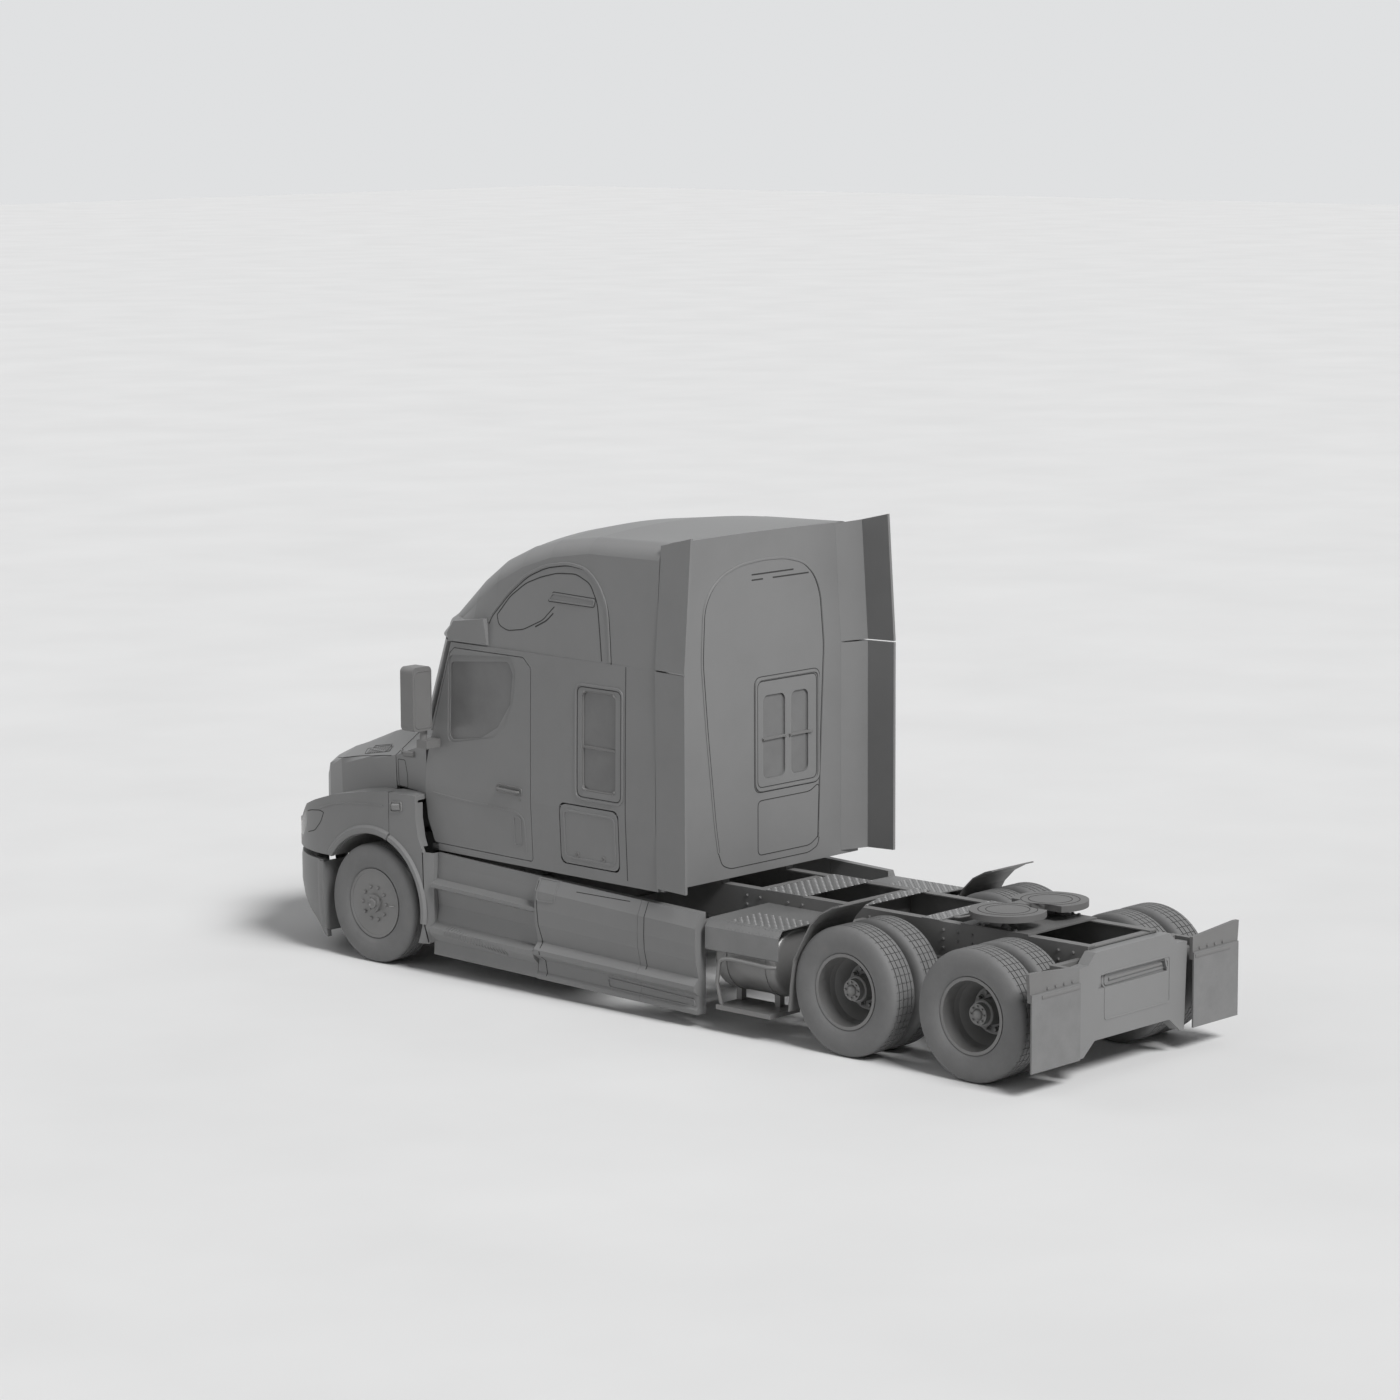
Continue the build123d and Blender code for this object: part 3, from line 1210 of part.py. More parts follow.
strap_width = 55.0
strap_inset = 90.0
strap_wall = 6.0
strap_stations = (tank_front + strap_inset, tank_rear - strap_inset - strap_width)
step_inner = 860.0
step_outer = 1215.0
step_low = 190.0
step_high = 228.0
step_front = tank_front + 100.0
step_rear = tank_rear + 30.0
with BuildPart() as fuel_tank_room:
    for side in (1, -1):
        with BuildSketch(across(tank_rear + overrun)):
            with Locations((side * tank_x, tank_height)):
                Circle(tank_radius + seat_gap)
        extrude(amount=tank_rear - tank_front + 2 * overrun)
with BuildPart() as tank_straps:
    for side in (1, -1):
        for station in strap_stations:
            with BuildSketch(across(station + strap_width)):
                with Locations((side * tank_x, tank_height)):
                    Circle(tank_radius + seat_gap + strap_wall)
                outline([(side * x, z) for x, z in (
                    (rail_half_width + seat_gap, tank_height - tank_radius * 0.5), (tank_x, tank_height - tank_radius * 0.5),
                    (tank_x, cover_height - 3 * cover_wall), (rail_half_width + seat_gap, cover_height - 3 * cover_wall))])
                with Locations((side * tank_x, tank_height)):
                    Circle(tank_radius + seat_gap, mode=Mode.SUBTRACT)
            extrude(amount=strap_width)

# Tread covers over the tanks and step below the left tank
with BuildPart() as tank_covers:
    for side in (1, -1):
        with BuildSketch(across(cover_rear)):
            profile = [(rail_half_width + seat_gap, cover_height), (1130.0, cover_height - 10.0), (1185.0, cover_height - 70.0),
                       (1185.0, cover_height - 250.0)]
            inner = [(x - (cover_wall if index > 1 else 0), z - cover_wall) for index, (x, z) in enumerate(profile)]
            outline([(side * x, z) for x, z in profile + inner[::-1]])
        extrude(amount=cover_rear - tank_front + 40.0)

with BuildPart() as tank_step:
    for side in (1, -1):
        step_low_x, step_high_x = sorted((side * step_inner, side * step_outer))
        add(block((step_low_x, step_high_x), (step_front, step_rear), (step_low, step_high)).part)
        post_low_x, post_high_x = sorted((side * (tank_x + strap_width), side * (tank_x + 2 * strap_width)))
        for station in strap_stations:
            add(block((post_low_x, post_high_x), (station, station + strap_width), (step_high, tank_height)).part)
    add(fuel_tank_room.part, mode=Mode.SUBTRACT)
keep(together(tank_straps, tank_step), "tank_straps")

# Quarter fenders: a plate that rises ahead of each first drive tyre and lies over its front half
quarter_x = (660.0, 1200.0)
quarter_wall = 12.0
quarter_points = [
    # station from the axle, height
    (-554.0, 277.0), (-533.0, 494.0), (-502.0, 697.0), (-429.0, 830.0), (-327.0, 1002.0), (-225.0, 1102.0),
    (-100.0, 1168.0), (-30.0, 1188.0)]
quarter_arm_x = 760.0
quarter_arm_stations = (-450.0, -386.0)
quarter_arm_heights = (880.0, 920.0)
with BuildPart() as quarter_fenders:
    for side in (1, -1):
        with BuildSketch(beside(quarter_x[0] if side > 0 else -quarter_x[1])):
            under = []
            for offset_along, height in quarter_points:
                reach = sqrt(offset_along ** 2 + (height - tyre_radius) ** 2)
                share = (reach - quarter_wall) / reach
                under.append((offset_along * share, tyre_radius + (height - tyre_radius) * share))
            outline(side_points([(drive_station + along, height) for along, height in quarter_points + under[::-1]]))
        extrude(amount=quarter_x[1] - quarter_x[0])
        arm_low, arm_high = sorted((side * (rail_half_width + seat_gap), side * quarter_arm_x))
        add(block((arm_low, arm_high), [drive_station + along for along in quarter_arm_stations],
                  quarter_arm_heights).part)
keep(quarter_fenders, "quarter_fenders")

# Deck plates on the rails behind the sleeper
deck_wall = 6.0
deck_bays = [(3760.0, 4160.0), (4620.0, 4760.0), (5380.0, 5560.0)]
with BuildPart() as deck_plates:
    for front, rear in deck_bays:
        add(block((-rail_half_width, rail_half_width), (front, rear), (rail_top + seat_gap, rail_top + seat_gap + deck_wall)).part)
keep(together(tank_covers, deck_plates), "deck_plates")

# Fifth wheel: base plate and two uprights on the rails, and the tilting top plate of two round pads
fifth_station = 6100.0
fifth_base_half_length = 330.0
fifth_base_wall = 14.0
fifth_pin_height = 1048.0
fifth_pin_radius = 20.0
upright_width = 60.0
upright_half_length = 130.0
upright_x = 330.0
upright_head_half = 26.0
upright_head_rise = 26.0
pad_x = 265.0
pad_radius = 300.0
plate_wall = 50.0
plate_bottom = 1090.0
with BuildPart() as fifth_base:
    add(block((-rail_half_width, rail_half_width),
              (fifth_station - fifth_base_half_length, fifth_station + fifth_base_half_length),
              (rail_top + seat_gap, rail_top + seat_gap + fifth_base_wall)).part)
    for side in (1, -1):
        with BuildSketch(beside(side * upright_x - upright_width / 2)):
            outline(side_points([
                (fifth_station - upright_half_length, rail_top + fifth_base_wall),
                (fifth_station + upright_half_length, rail_top + fifth_base_wall),
                (fifth_station + upright_head_half, fifth_pin_height + upright_head_rise),
                (fifth_station - upright_head_half, fifth_pin_height + upright_head_rise)]))
            with Locations((at(fifth_station), fifth_pin_height)):
                Circle(fifth_pin_radius + shaft_clearance, mode=Mode.SUBTRACT)
        extrude(amount=upright_width)
keep(fifth_base, "fifth_wheel_base")

kingpin_seat_radius = 26.0
throat_half = 90.0
throat_run = 80.0
bridge_front = 150.0
ear_wall = 24.0
ear_half = 30.0
ear_drop = 24.0
with BuildPart() as fifth_plate:
    with BuildSketch(Plane.XY.offset(plate_bottom)):
        with Locations((pad_x, at(fifth_station)), (-pad_x, at(fifth_station))):
            Circle(pad_radius)
        with Locations((0, at(fifth_station))):
            Circle(kingpin_seat_radius, mode=Mode.SUBTRACT)
    extrude(amount=plate_wall)
    with BuildSketch(Plane.XY.offset(plate_bottom)):
        outline([(x, at(fifth_station) + along) for x, along in (
            (-kingpin_seat_radius, 0), (kingpin_seat_radius, 0), (throat_half, throat_run), (throat_half, pad_radius),
            (-throat_half, pad_radius), (-throat_half, throat_run))])
        outline([(x, at(fifth_station) - along) for x, along in (
            (throat_half, bridge_front), (throat_half, pad_radius), (-throat_half, pad_radius), (-throat_half, bridge_front))])
    extrude(amount=plate_wall, mode=Mode.SUBTRACT)
    for side in (1, -1):
        for offset_x in (upright_width / 2 + ear_gap, -upright_width / 2 - ear_gap - ear_wall):
            with BuildSketch(beside(side * upright_x + offset_x)):
                outline(side_points([
                    (fifth_station - ear_half, fifth_pin_height - ear_drop), (fifth_station + ear_half, fifth_pin_height - ear_drop),
                    (fifth_station + 2 * ear_half, plate_bottom), (fifth_station - 2 * ear_half, plate_bottom)]))
            extrude(amount=ear_wall)
        with BuildSketch(beside(side * upright_x - upright_width / 2 - ear_gap - ear_wall)):
            with Locations((at(fifth_station), fifth_pin_height)):
                Circle(fifth_pin_radius)
        extrude(amount=upright_width + 2 * (ear_gap + ear_wall))
keep(fifth_plate, "fifth_wheel_plate")

# Tail fairing between the rails' ends, with its wings, and the mudflaps on their hangers
tail_front = rail_rear + seat_gap
tail_rear = 7100.0
tail_points = [(-560.0, 889.0), (-470.0, 975.0), (470.0, 975.0), (560.0, 889.0), (690.0, 880.0), (660.0, 190.0),
               (610.0, 190.0), (470.0, 300.0), (-470.0, 300.0), (-610.0, 190.0), (-660.0, 190.0), (-690.0, 880.0)]
with BuildPart() as tail:
    with BuildSketch(across(tail_rear)):
        outline(tail_points)
    extrude(amount=tail_rear - tail_front)
    with BuildSketch(across(tail_rear)):
        outline([(-430.0, 690.0), (430.0, 690.0), (400.0, 790.0), (-400.0, 790.0)])
    extrude(amount=30.0, mode=Mode.SUBTRACT)
keep(tail, "tail_fairing")

flap_wall = 14.0
flap_front = rear_reach - flap_wall
flap_inner = 712.0
flap_outer = 1298.0
flap_low = 200.0
flap_high = 792.0
hanger_high = 930.0
hanger_wall = 30.0
with BuildPart() as mudflap_hangers:
    for side in (1, -1):
        with BuildSketch(across(flap_front)):
            outline([(side * x, z) for x, z in (
                (flap_inner, flap_high - 60.0), (flap_outer, flap_high - 60.0), (flap_outer + 20.0, hanger_high + 22.0),
                (flap_outer - 30.0, hanger_high + 25.0), (flap_inner, hanger_high - 20.0))])
        extrude(amount=hanger_wall - seat_gap)
        arm_low, arm_high = sorted((side * (rail_half_width + seat_gap), side * (flap_inner + 60.0)))
        add(block((arm_low, arm_high), (6900.0, 6960.0), (840.0, 900.0)).part)
        pad_low, pad_high = sorted((side * (flap_inner + 10.0), side * (flap_inner + 60.0)))
        add(block((pad_low, pad_high), (6900.0, flap_front - hanger_wall + seat_gap), (840.0, 900.0)).part)
keep(mudflap_hangers, "mudflap_hangers")
with BuildPart() as mudflaps:
    for side in (1, -1):
        low_x, high_x = sorted((side * flap_inner, side * flap_outer))
        add(block((low_x, high_x), (flap_front, rear_reach), (flap_low, flap_high)).part)
keep(mudflaps, "mudflaps")

# Side extenders behind the sleeper, lower and upper
extender_rear = 3674.0
extender_flare = 49.0
extender_rear_x = cab_rear_half + extender_flare
extender_front = cab_rear_station + panel_gap
extender_root_x = cab_rear_half - back_wall_inset + 4.0
extender_points = [(cab_rear_half, extender_front), (extender_rear_x, extender_rear), (extender_rear_x - 26.0, extender_rear),
                   (cab_rear_half - 14.0, 3425.0), (965.0, back_wall_rear + seat_gap * 2),
                   (extender_root_x, back_wall_rear + seat_gap * 2), (extender_root_x, extender_front)]
extender_foot = 1078.0
extender_head_inset = 84.0
extender_top = (3798.0, 3897.0)
with BuildPart() as extender_left:
    with BuildSketch(Plane.XY.offset(extender_foot)):
        outline([(x, at(station)) for x, station in extender_points])
    extrude(amount=roof_seam - panel_gap - extender_foot)
    with BuildSketch(Plane.XY.offset(roof_seam + panel_gap)):
        outline([(x, at(station)) for x, station in extender_points])
    with BuildSketch(Plane.XY.offset(extender_top[1])):
        outline([(x - extender_head_inset, at(station)) for x, station in extender_points])
    loft(ruled=True)
    add(side_slab([(extender_front - overrun, extender_top[0]), (extender_rear, extender_top[1]),
                   (extender_rear + overrun, extender_top[1] + overrun), (extender_front - overrun, extender_top[1] + overrun)],
                  0, extender_rear_x + overrun).part, mode=Mode.SUBTRACT)
keep(both_sides(extender_left), "extenders")

# Mirrors: a tall shell on a neck from the front of each door
mirror_x = (1235.0, 1450.0)
mirror_front = 610.0
mirror_depth = 150.0
mirror_low = 2088.0
mirror_high = 2627.0
mirror_corner = 45.0
neck_radius = 32.0
neck_x = 1270.0
neck_station = 690.0
with BuildPart() as mirror_left:
    with BuildSketch(across(mirror_front + mirror_depth)) as face:
        outline([(mirror_x[0], mirror_low), (mirror_x[1], mirror_low), (mirror_x[1], mirror_high), (mirror_x[0], mirror_high)])
        fillet(face.vertices(), mirror_corner)
    extrude(amount=mirror_depth)
    with BuildSketch(Plane.XY.offset(1960.0)):
        with Locations((neck_x, at(neck_station))):
            Circle(neck_radius)
    extrude(amount=mirror_low - 1960.0 + neck_radius)
    with BuildSketch(beside(cab_front_half - cab_wall / 2)):
        outline(side_points([(640.0, 1930.0), (760.0, 1930.0), (760.0, 2000.0), (640.0, 2000.0)]))
    extrude(amount=neck_x + neck_radius - cab_front_half + cab_wall / 2)
    add(side_skin(-seat_gap, cab_wall).part, mode=Mode.SUBTRACT)
keep(mirror_left, "mirror_left")
keep(mirrored(mirror_left), "mirror_right")

# Inside of the cab: seats, bunk, dashboard and steering wheel
seat_x = 560.0
seat_half = 260.0
seat_front = 1120.0
seat_rear = 1640.0
cushion_low = 1380.0
cushion_high = 1520.0
back_high = 2240.0
with BuildPart() as seats:
    for x in (seat_x, -seat_x):
        with BuildSketch(beside(x - seat_half)):
            outline(side_points([
                (seat_front, cushion_low), (seat_rear, cushion_low), (seat_rear + 150.0, back_high), (seat_rear + 20.0, back_high),
                (seat_rear - 120.0, cushion_high), (seat_front, cushion_high)]))
        extrude(amount=2 * seat_half)
        add(block((x - seat_half * 0.6, x + seat_half * 0.6), (seat_front + 80.0, seat_rear - 80.0),
                  (cab_sill + floor_wall, cushion_low)).part)

bunk_half = 1080.0
bunk_front = 2450.0
bunk_rear = cab_rear_station - 10.0
bunk_high = 1700.0
mattress_depth = 150.0
bunk_board = 25.0
with BuildPart() as bunk:
    add(block((-bunk_half, bunk_half), (bunk_front, bunk_rear), (bunk_high - mattress_depth, bunk_high)).part)
    add(block((-bunk_half, bunk_half), (bunk_front, bunk_front + bunk_board),
              (cab_sill + floor_wall, bunk_high - mattress_depth)).part)
keep(together(seats, bunk), "seats_and_bunk")

dash_half = 970.0
dash_front = cowl_rear + firewall_wall + seat_gap
with BuildPart() as dashboard:
    with BuildSketch(beside(-dash_half)):
        outline(side_points([(dash_front, 1500.0), (880.0, 1560.0), (960.0, 1800.0), (900.0, 1960.0), (dash_front, 2030.0)]))
    extrude(amount=2 * dash_half)

wheel_ring_radius = 225.0
ring_section = 16.0
wheel_tilt = 35.0
steering_column = 150.0
wheel_centre = (seat_x, at(1030.0), 1830.0)
with BuildPart() as steering_wheel:
    tilted = Plane(origin=wheel_centre, x_dir=(1, 0, 0), z_dir=(0, sin(radians(90 - wheel_tilt)), cos(radians(90 - wheel_tilt))))
    ring_plane = Plane(origin=wheel_centre, x_dir=(1, 0, 0), z_dir=tilted.y_dir * -1)
    with BuildSketch(ring_plane):
        with Locations((wheel_ring_radius, 0)):
            Circle(ring_section)
    revolve(axis=Axis(wheel_centre, tilted.z_dir))
    with BuildSketch(tilted):
        Rectangle(2 * wheel_ring_radius, 2 * ring_section)
        Rectangle(4 * ring_section, 2 * wheel_ring_radius)
    extrude(amount=ring_section / 2, both=True)
    with BuildSketch(tilted):
        Circle(3 * ring_section)
    extrude(amount=-steering_column)
keep(together(dashboard, steering_wheel), "dashboard")

# Plates at the rails' front that carry the hood's pivots and reach the bumper
bracket_points = [(-1040.0, 960.0), (-1180.0, 960.0), (-1300.0, 764.0), (-1500.0, 764.0), (-1500.0, 704.0), (-1330.0, 700.0),
                  (-1290.0, 500.0), (-1250.0, 480.0), (-1210.0, 500.0), (-1180.0, 700.0), (-1040.0, 760.0)]
stay_x = 290.0
stay_low = 722.0
stay_high = 762.0
stay_rear = crossmember_stations[0] - crossmember_length / 2 - seat_gap
with BuildPart() as front_plates:
    for side in (1, -1):
        plate_start = rail_half_width + seat_gap if side > 0 else -(rail_half_width + seat_gap) - pivot_plate
        with BuildSketch(beside(plate_start)):
            outline(side_points(bracket_points))
            with Locations((at(pivot_station), pivot_height)):
                Circle(pivot_radius + shaft_clearance, mode=Mode.SUBTRACT)
        extrude(amount=pivot_plate)
        stay_start, stay_end = sorted((side * stay_x, side * (stay_x + rail_height / 5)))
        add(block((stay_start, stay_end), (-front_overhang, stay_rear), (stay_low, stay_high)).part)
    with BuildSketch(Plane.XY):
        nose_face(fender_half, bumper_wall + seat_gap, cab_rear_station, bumper_face_inset)
    extrude(amount=cab_glass_line, mode=Mode.INTERSECT)
keep(front_plates, "front_brackets")
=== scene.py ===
import json
import math

import bmesh
import bpy
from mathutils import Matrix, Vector
from mathutils.bvhtree import BVHTree

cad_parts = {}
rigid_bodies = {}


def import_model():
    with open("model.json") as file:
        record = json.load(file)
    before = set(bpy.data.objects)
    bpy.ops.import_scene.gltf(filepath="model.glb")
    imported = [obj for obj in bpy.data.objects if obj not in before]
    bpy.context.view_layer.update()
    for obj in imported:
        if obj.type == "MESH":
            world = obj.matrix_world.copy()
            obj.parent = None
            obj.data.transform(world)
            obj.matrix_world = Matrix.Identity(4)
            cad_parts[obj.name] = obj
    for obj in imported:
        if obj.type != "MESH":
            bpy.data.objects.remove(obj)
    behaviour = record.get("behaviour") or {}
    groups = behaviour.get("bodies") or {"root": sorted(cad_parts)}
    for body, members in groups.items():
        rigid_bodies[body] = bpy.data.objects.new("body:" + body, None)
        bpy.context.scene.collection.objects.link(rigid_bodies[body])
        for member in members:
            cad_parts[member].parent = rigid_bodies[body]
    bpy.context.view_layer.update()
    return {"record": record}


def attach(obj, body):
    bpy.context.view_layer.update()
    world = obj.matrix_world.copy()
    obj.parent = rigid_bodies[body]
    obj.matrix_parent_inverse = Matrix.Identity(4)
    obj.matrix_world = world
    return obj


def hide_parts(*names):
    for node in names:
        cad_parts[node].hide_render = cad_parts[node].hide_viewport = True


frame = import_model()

# Camera at the photo's viewpoint, fitted to the 1400 by 1400 frame
CAMERA_PLACE = (24.8666, 22.7478, 7.5816)
CAMERA_TURN = (81.2659, 0.2667, 132.6356)
CAMERA_LENS = 107.0
SENSOR = 36.0

# Frame values repeated from the part's source, in metres
AXLE_Y = -2.835
TYRE_RADIUS = 0.512
FRONT_WHEEL_X = 1.103
DUAL_X = 0.880
DUAL_SPACING = 0.343
DRIVE_STATIONS = (5.230, 6.470)


def at(station):
    """Y of a station measured back from the front axle."""
    return AXLE_Y + station


def place_camera():
    """Camera at the photo's viewing angle."""
    data = bpy.data.cameras.new("camera")
    camera = bpy.data.objects.new("camera", data)
    bpy.context.collection.objects.link(camera)
    camera.location = CAMERA_PLACE
    camera.rotation_mode = "XYZ"
    camera.rotation_euler = [math.radians(angle) for angle in CAMERA_TURN]
    data.sensor_width = SENSOR
    data.lens = CAMERA_LENS
    data.clip_start = 0.5
    data.clip_end = 400.0
    bpy.context.scene.camera = camera


place_camera()

# Materials


class Nodes:
    """Short calls to build one material's node tree."""

    def __init__(self, name):
        self.material = bpy.data.materials.new(name)
        self.material.use_nodes = True
        self.tree = self.material.node_tree
        self.shader = self.tree.nodes["Principled BSDF"]
        self.place = self.add("ShaderNodeTexCoord").outputs["Object"]

    def add(self, kind, **values):
        node = self.tree.nodes.new(kind)
        for key, value in values.items():
            setattr(node, key, value)
        return node

    def link(self, source, target):
        self.tree.links.new(source, target)

    def noise(self, scale, detail=4.0, rough=0.55):
        node = self.add("ShaderNodeTexNoise")
        node.inputs["Scale"].default_value = scale
        node.inputs["Detail"].default_value = detail
        node.inputs["Roughness"].default_value = rough
        self.link(self.place, node.inputs["Vector"])
        return node.outputs["Fac"]

    def ramp(self, source, stops):
        node = self.add("ShaderNodeValToRGB")
        ramp = node.color_ramp
        while len(ramp.elements) < len(stops):
            ramp.elements.new(0.5)
        for element, (place, colour) in zip(ramp.elements, stops):
            element.position = place
            element.color = (*colour, 1.0)
        self.link(source, node.inputs["Fac"])
        return node.outputs["Color"]

    def mix(self, share, one, two, blend="MIX"):
        node = self.add("ShaderNodeMix", data_type="RGBA", blend_type=blend)
        if isinstance(share, float):
            node.inputs["Factor"].default_value = share
        else:
            self.link(share, node.inputs["Factor"])
        self.link(one, node.inputs["A"])
        self.link(two, node.inputs["B"])
        return node.outputs["Result"]

    def roughness(self, source, low, high):
        node = self.add("ShaderNodeMapRange")
        node.inputs["To Min"].default_value = low
        node.inputs["To Max"].default_value = high
        self.link(source, node.inputs["Value"])
        self.link(node.outputs["Result"], self.shader.inputs["Roughness"])

    def bump(self, source, depth, strength=1.0):
        node = self.add("ShaderNodeBump")
        node.inputs["Strength"].default_value = strength
        node.inputs["Distance"].default_value = depth
        self.link(source, node.inputs["Height"])
        self.link(node.outputs["Normal"], self.shader.inputs["Normal"])


def tone(value, warm=0.0):
    """A grey, a little warm or cool."""
    return (value * (1 + warm), value, value * (1 - warm))


def finish_material(name, grey, spread, rough, metal=0.0, grain=900.0, grain_depth=0.0002, cloud=1.6,
                    warm=0.01):
    """Grey finish with soft cloudy variation, fine specks and fine grain."""
    nodes = Nodes(name)
    clouds = nodes.noise(cloud, 5.0, 0.6)
    base = nodes.ramp(clouds, [(0.25, tone(grey - spread, warm)), (0.55, tone(grey, warm)),
                               (0.8, tone(grey + spread, -warm))])
    fine = nodes.noise(grain, 3.0, 0.6)
    specks = nodes.ramp(fine, [(0.3, (0.9, 0.9, 0.9)), (0.6, (1.0, 1.0, 1.0))])
    nodes.link(nodes.mix(0.35, base, specks, "MULTIPLY"), nodes.shader.inputs["Base Color"])
    nodes.roughness(clouds, rough - 0.07, rough + 0.07)
    nodes.bump(fine, grain_depth, 0.6)
    nodes.shader.inputs["Metallic"].default_value = metal
    return nodes.material


def paint_material():
    """Matte grey body paint with a faint orange peel."""
    nodes = Nodes("body_paint")
    clouds = nodes.noise(1.1, 5.0, 0.6)
    base = nodes.ramp(clouds, [(0.2, tone(0.185)), (0.5, tone(0.205)), (0.85, tone(0.22))])
    peel = nodes.noise(260.0, 2.0, 0.5)
    specks = nodes.ramp(peel, [(0.3, (0.94, 0.94, 0.94)), (0.65, (1.0, 1.0, 1.0))])
    nodes.link(nodes.mix(0.3, base, specks, "MULTIPLY"), nodes.shader.inputs["Base Color"])
    nodes.roughness(clouds, 0.42, 0.54)
    nodes.bump(peel, 0.0004, 0.35)
    nodes.shader.inputs["Coat Weight"].default_value = 0.08
    nodes.shader.inputs["Coat Roughness"].default_value = 0.3
    return nodes.material


def rubber_material(name, grey, grain_scale):
    """Rubber: dull, a little uneven, with fine grain."""
    nodes = Nodes(name)
    dust = nodes.noise(7.0, 6.0, 0.65)
    base = nodes.ramp(dust, [(0.3, tone(grey * 0.88)), (0.6, tone(grey)), (0.85, tone(grey * 1.1, 0.02))])
    grain = nodes.noise(grain_scale, 3.0, 0.6)
    specks = nodes.ramp(grain, [(0.3, (0.86, 0.86, 0.86)), (0.6, (1.0, 1.0, 1.0))])
    nodes.link(nodes.mix(0.5, base, specks, "MULTIPLY"), nodes.shader.inputs["Base Color"])
    nodes.roughness(dust, 0.62, 0.82)
    nodes.bump(grain, 0.0006, 0.5)
    return nodes.material


def glass_material():
    """Grey panes as the photo shows them: not clear, with a soft sheen and faint streaks."""
    nodes = Nodes("window_glass")
    streaks = nodes.noise(2.4, 4.0, 0.6)
    base = nodes.ramp(streaks, [(0.3, tone(0.14)), (0.55, tone(0.165)), (0.8, tone(0.18))])
    nodes.link(base, nodes.shader.inputs["Base Color"])
    nodes.roughness(streaks, 0.16, 0.3)
    nodes.bump(streaks, 0.0008, 0.2)
    return nodes.material


def tread_plate_material():
    """Tread plate: metal with a small raised pattern in even rows."""
    nodes = Nodes("tread_plate")
    weave = nodes.add("ShaderNodeTexVoronoi", feature="F1", distance="CHEBYCHEV")
    weave.inputs["Scale"].default_value = 55.0
    weave.inputs["Randomness"].default_value = 0.0
    nodes.link(nodes.place, weave.inputs["Vector"])
    clouds = nodes.noise(3.0, 5.0, 0.6)
    base = nodes.ramp(clouds, [(0.25, tone(0.18)), (0.55, tone(0.21)), (0.85, tone(0.24))])
    nodes.link(base, nodes.shader.inputs["Base Color"])
    nodes.roughness(clouds, 0.38, 0.55)
    nodes.shader.inputs["Metallic"].default_value = 0.3
    nodes.bump(weave.outputs["Distance"], 0.003, 0.7)
    return nodes.material


materials = {
    "body_paint": paint_material(),
    "chassis_paint": finish_material("chassis_paint", 0.175, 0.02, 0.55),
    "chassis_iron": finish_material("chassis_iron", 0.17, 0.03, 0.6, metal=0.25, grain=420.0,
                                    grain_depth=0.0008),
    "wheel_metal": finish_material("wheel_metal", 0.215, 0.02, 0.42, metal=0.3),
    "tyre": rubber_material("tyre", 0.185, 700.0),
    "window_glass": glass_material(),
    "lamp": finish_material("lamp", 0.24, 0.015, 0.2, grain=300.0, grain_depth=0.0001),
    "trim": finish_material("trim", 0.18, 0.015, 0.5),
    "tank_alloy": finish_material("tank_alloy", 0.22, 0.02, 0.36, metal=0.3),
    "tread_plate": tread_plate_material(),
    "flap_rubber": rubber_material("flap_rubber", 0.2, 500.0),
    "seat_fabric": finish_material("seat_fabric", 0.15, 0.02, 0.85, grain=1200.0, grain_depth=0.0012),
    "radiator_alloy": finish_material("radiator_alloy", 0.17, 0.02, 0.5, metal=0.3),
    # Near-black strips laid along seams, creases, grooves and slots: painted shade standing in for the shadow
    # inside those gaps
    "painted_seam_shade": finish_material("painted_seam_shade", 0.035, 0.008, 0.8),
}

for row in frame["record"]["subparts"]:
    for slot in bpy.data.objects[row["node"]].material_slots:
        slot.material = materials[row["material_slot"]]


# Dressing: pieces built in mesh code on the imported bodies


def dense(points, step, closed):
    """The polyline with a point at least every step."""
    rows = list(points) + ([points[0]] if closed else [])
    out = []
    for start, end in zip(rows, rows[1:]):
        start, end = Vector(start), Vector(end)
        parts = max(1, math.ceil((end - start).length / step))
        out += [start.lerp(end, part / parts) for part in range(parts)]
    if not closed:
        out.append(Vector(rows[-1]))
    return out


def rounded(points, radius, closed=True, arc=5):
    """The polyline with its corners rounded."""
    count = len(points)
    out = []
    for index, point in enumerate(points):
        here = Vector(point)
        if not closed and index in (0, count - 1):
            out.append(here)
            continue
        before, after = Vector(points[index - 1]), Vector(points[(index + 1) % count])
        back, ahead = before - here, after - here
        reach = min(radius, back.length * 0.45, ahead.length * 0.45)
        start, end = here + back.normalized() * reach, here + ahead.normalized() * reach
        for part in range(arc + 1):
            share = part / arc
            out.append(start.lerp(here, share).lerp(here.lerp(end, share), share))
    return out


class Skin:
    """Outer surface of some CAD nodes, found by rays from one side."""

    VIEWS = {"left": lambda a, b: (Vector((4.0, a, b)), Vector((-1, 0, 0))),
             "right": lambda a, b: (Vector((-4.0, a, b)), Vector((1, 0, 0))),
             "rear": lambda a, b: (Vector((a, 7.0, b)), Vector((0, -1, 0))),
             "front": lambda a, b: (Vector((a, -7.0, b)), Vector((0, 1, 0))),
             "top": lambda a, b: (Vector((a, b, 6.0)), Vector((0, 0, -1)))}

    def __init__(self, *names):
        mesh = bmesh.new()
        for name in names:
            mesh.from_mesh(bpy.data.objects[name].data)
        self.tree = BVHTree.FromBMesh(mesh)
        mesh.free()

    def find(self, view, a, b):
        """Place and outward normal where a ray from that side first meets the surface, or None."""
        start, direction = self.VIEWS[view](a, b)
        place, normal, _, _ = self.tree.ray_cast(start, direction)
        if place is None:
            return None
        if normal.dot(direction) > 0:
            normal = -normal
        return place, normal


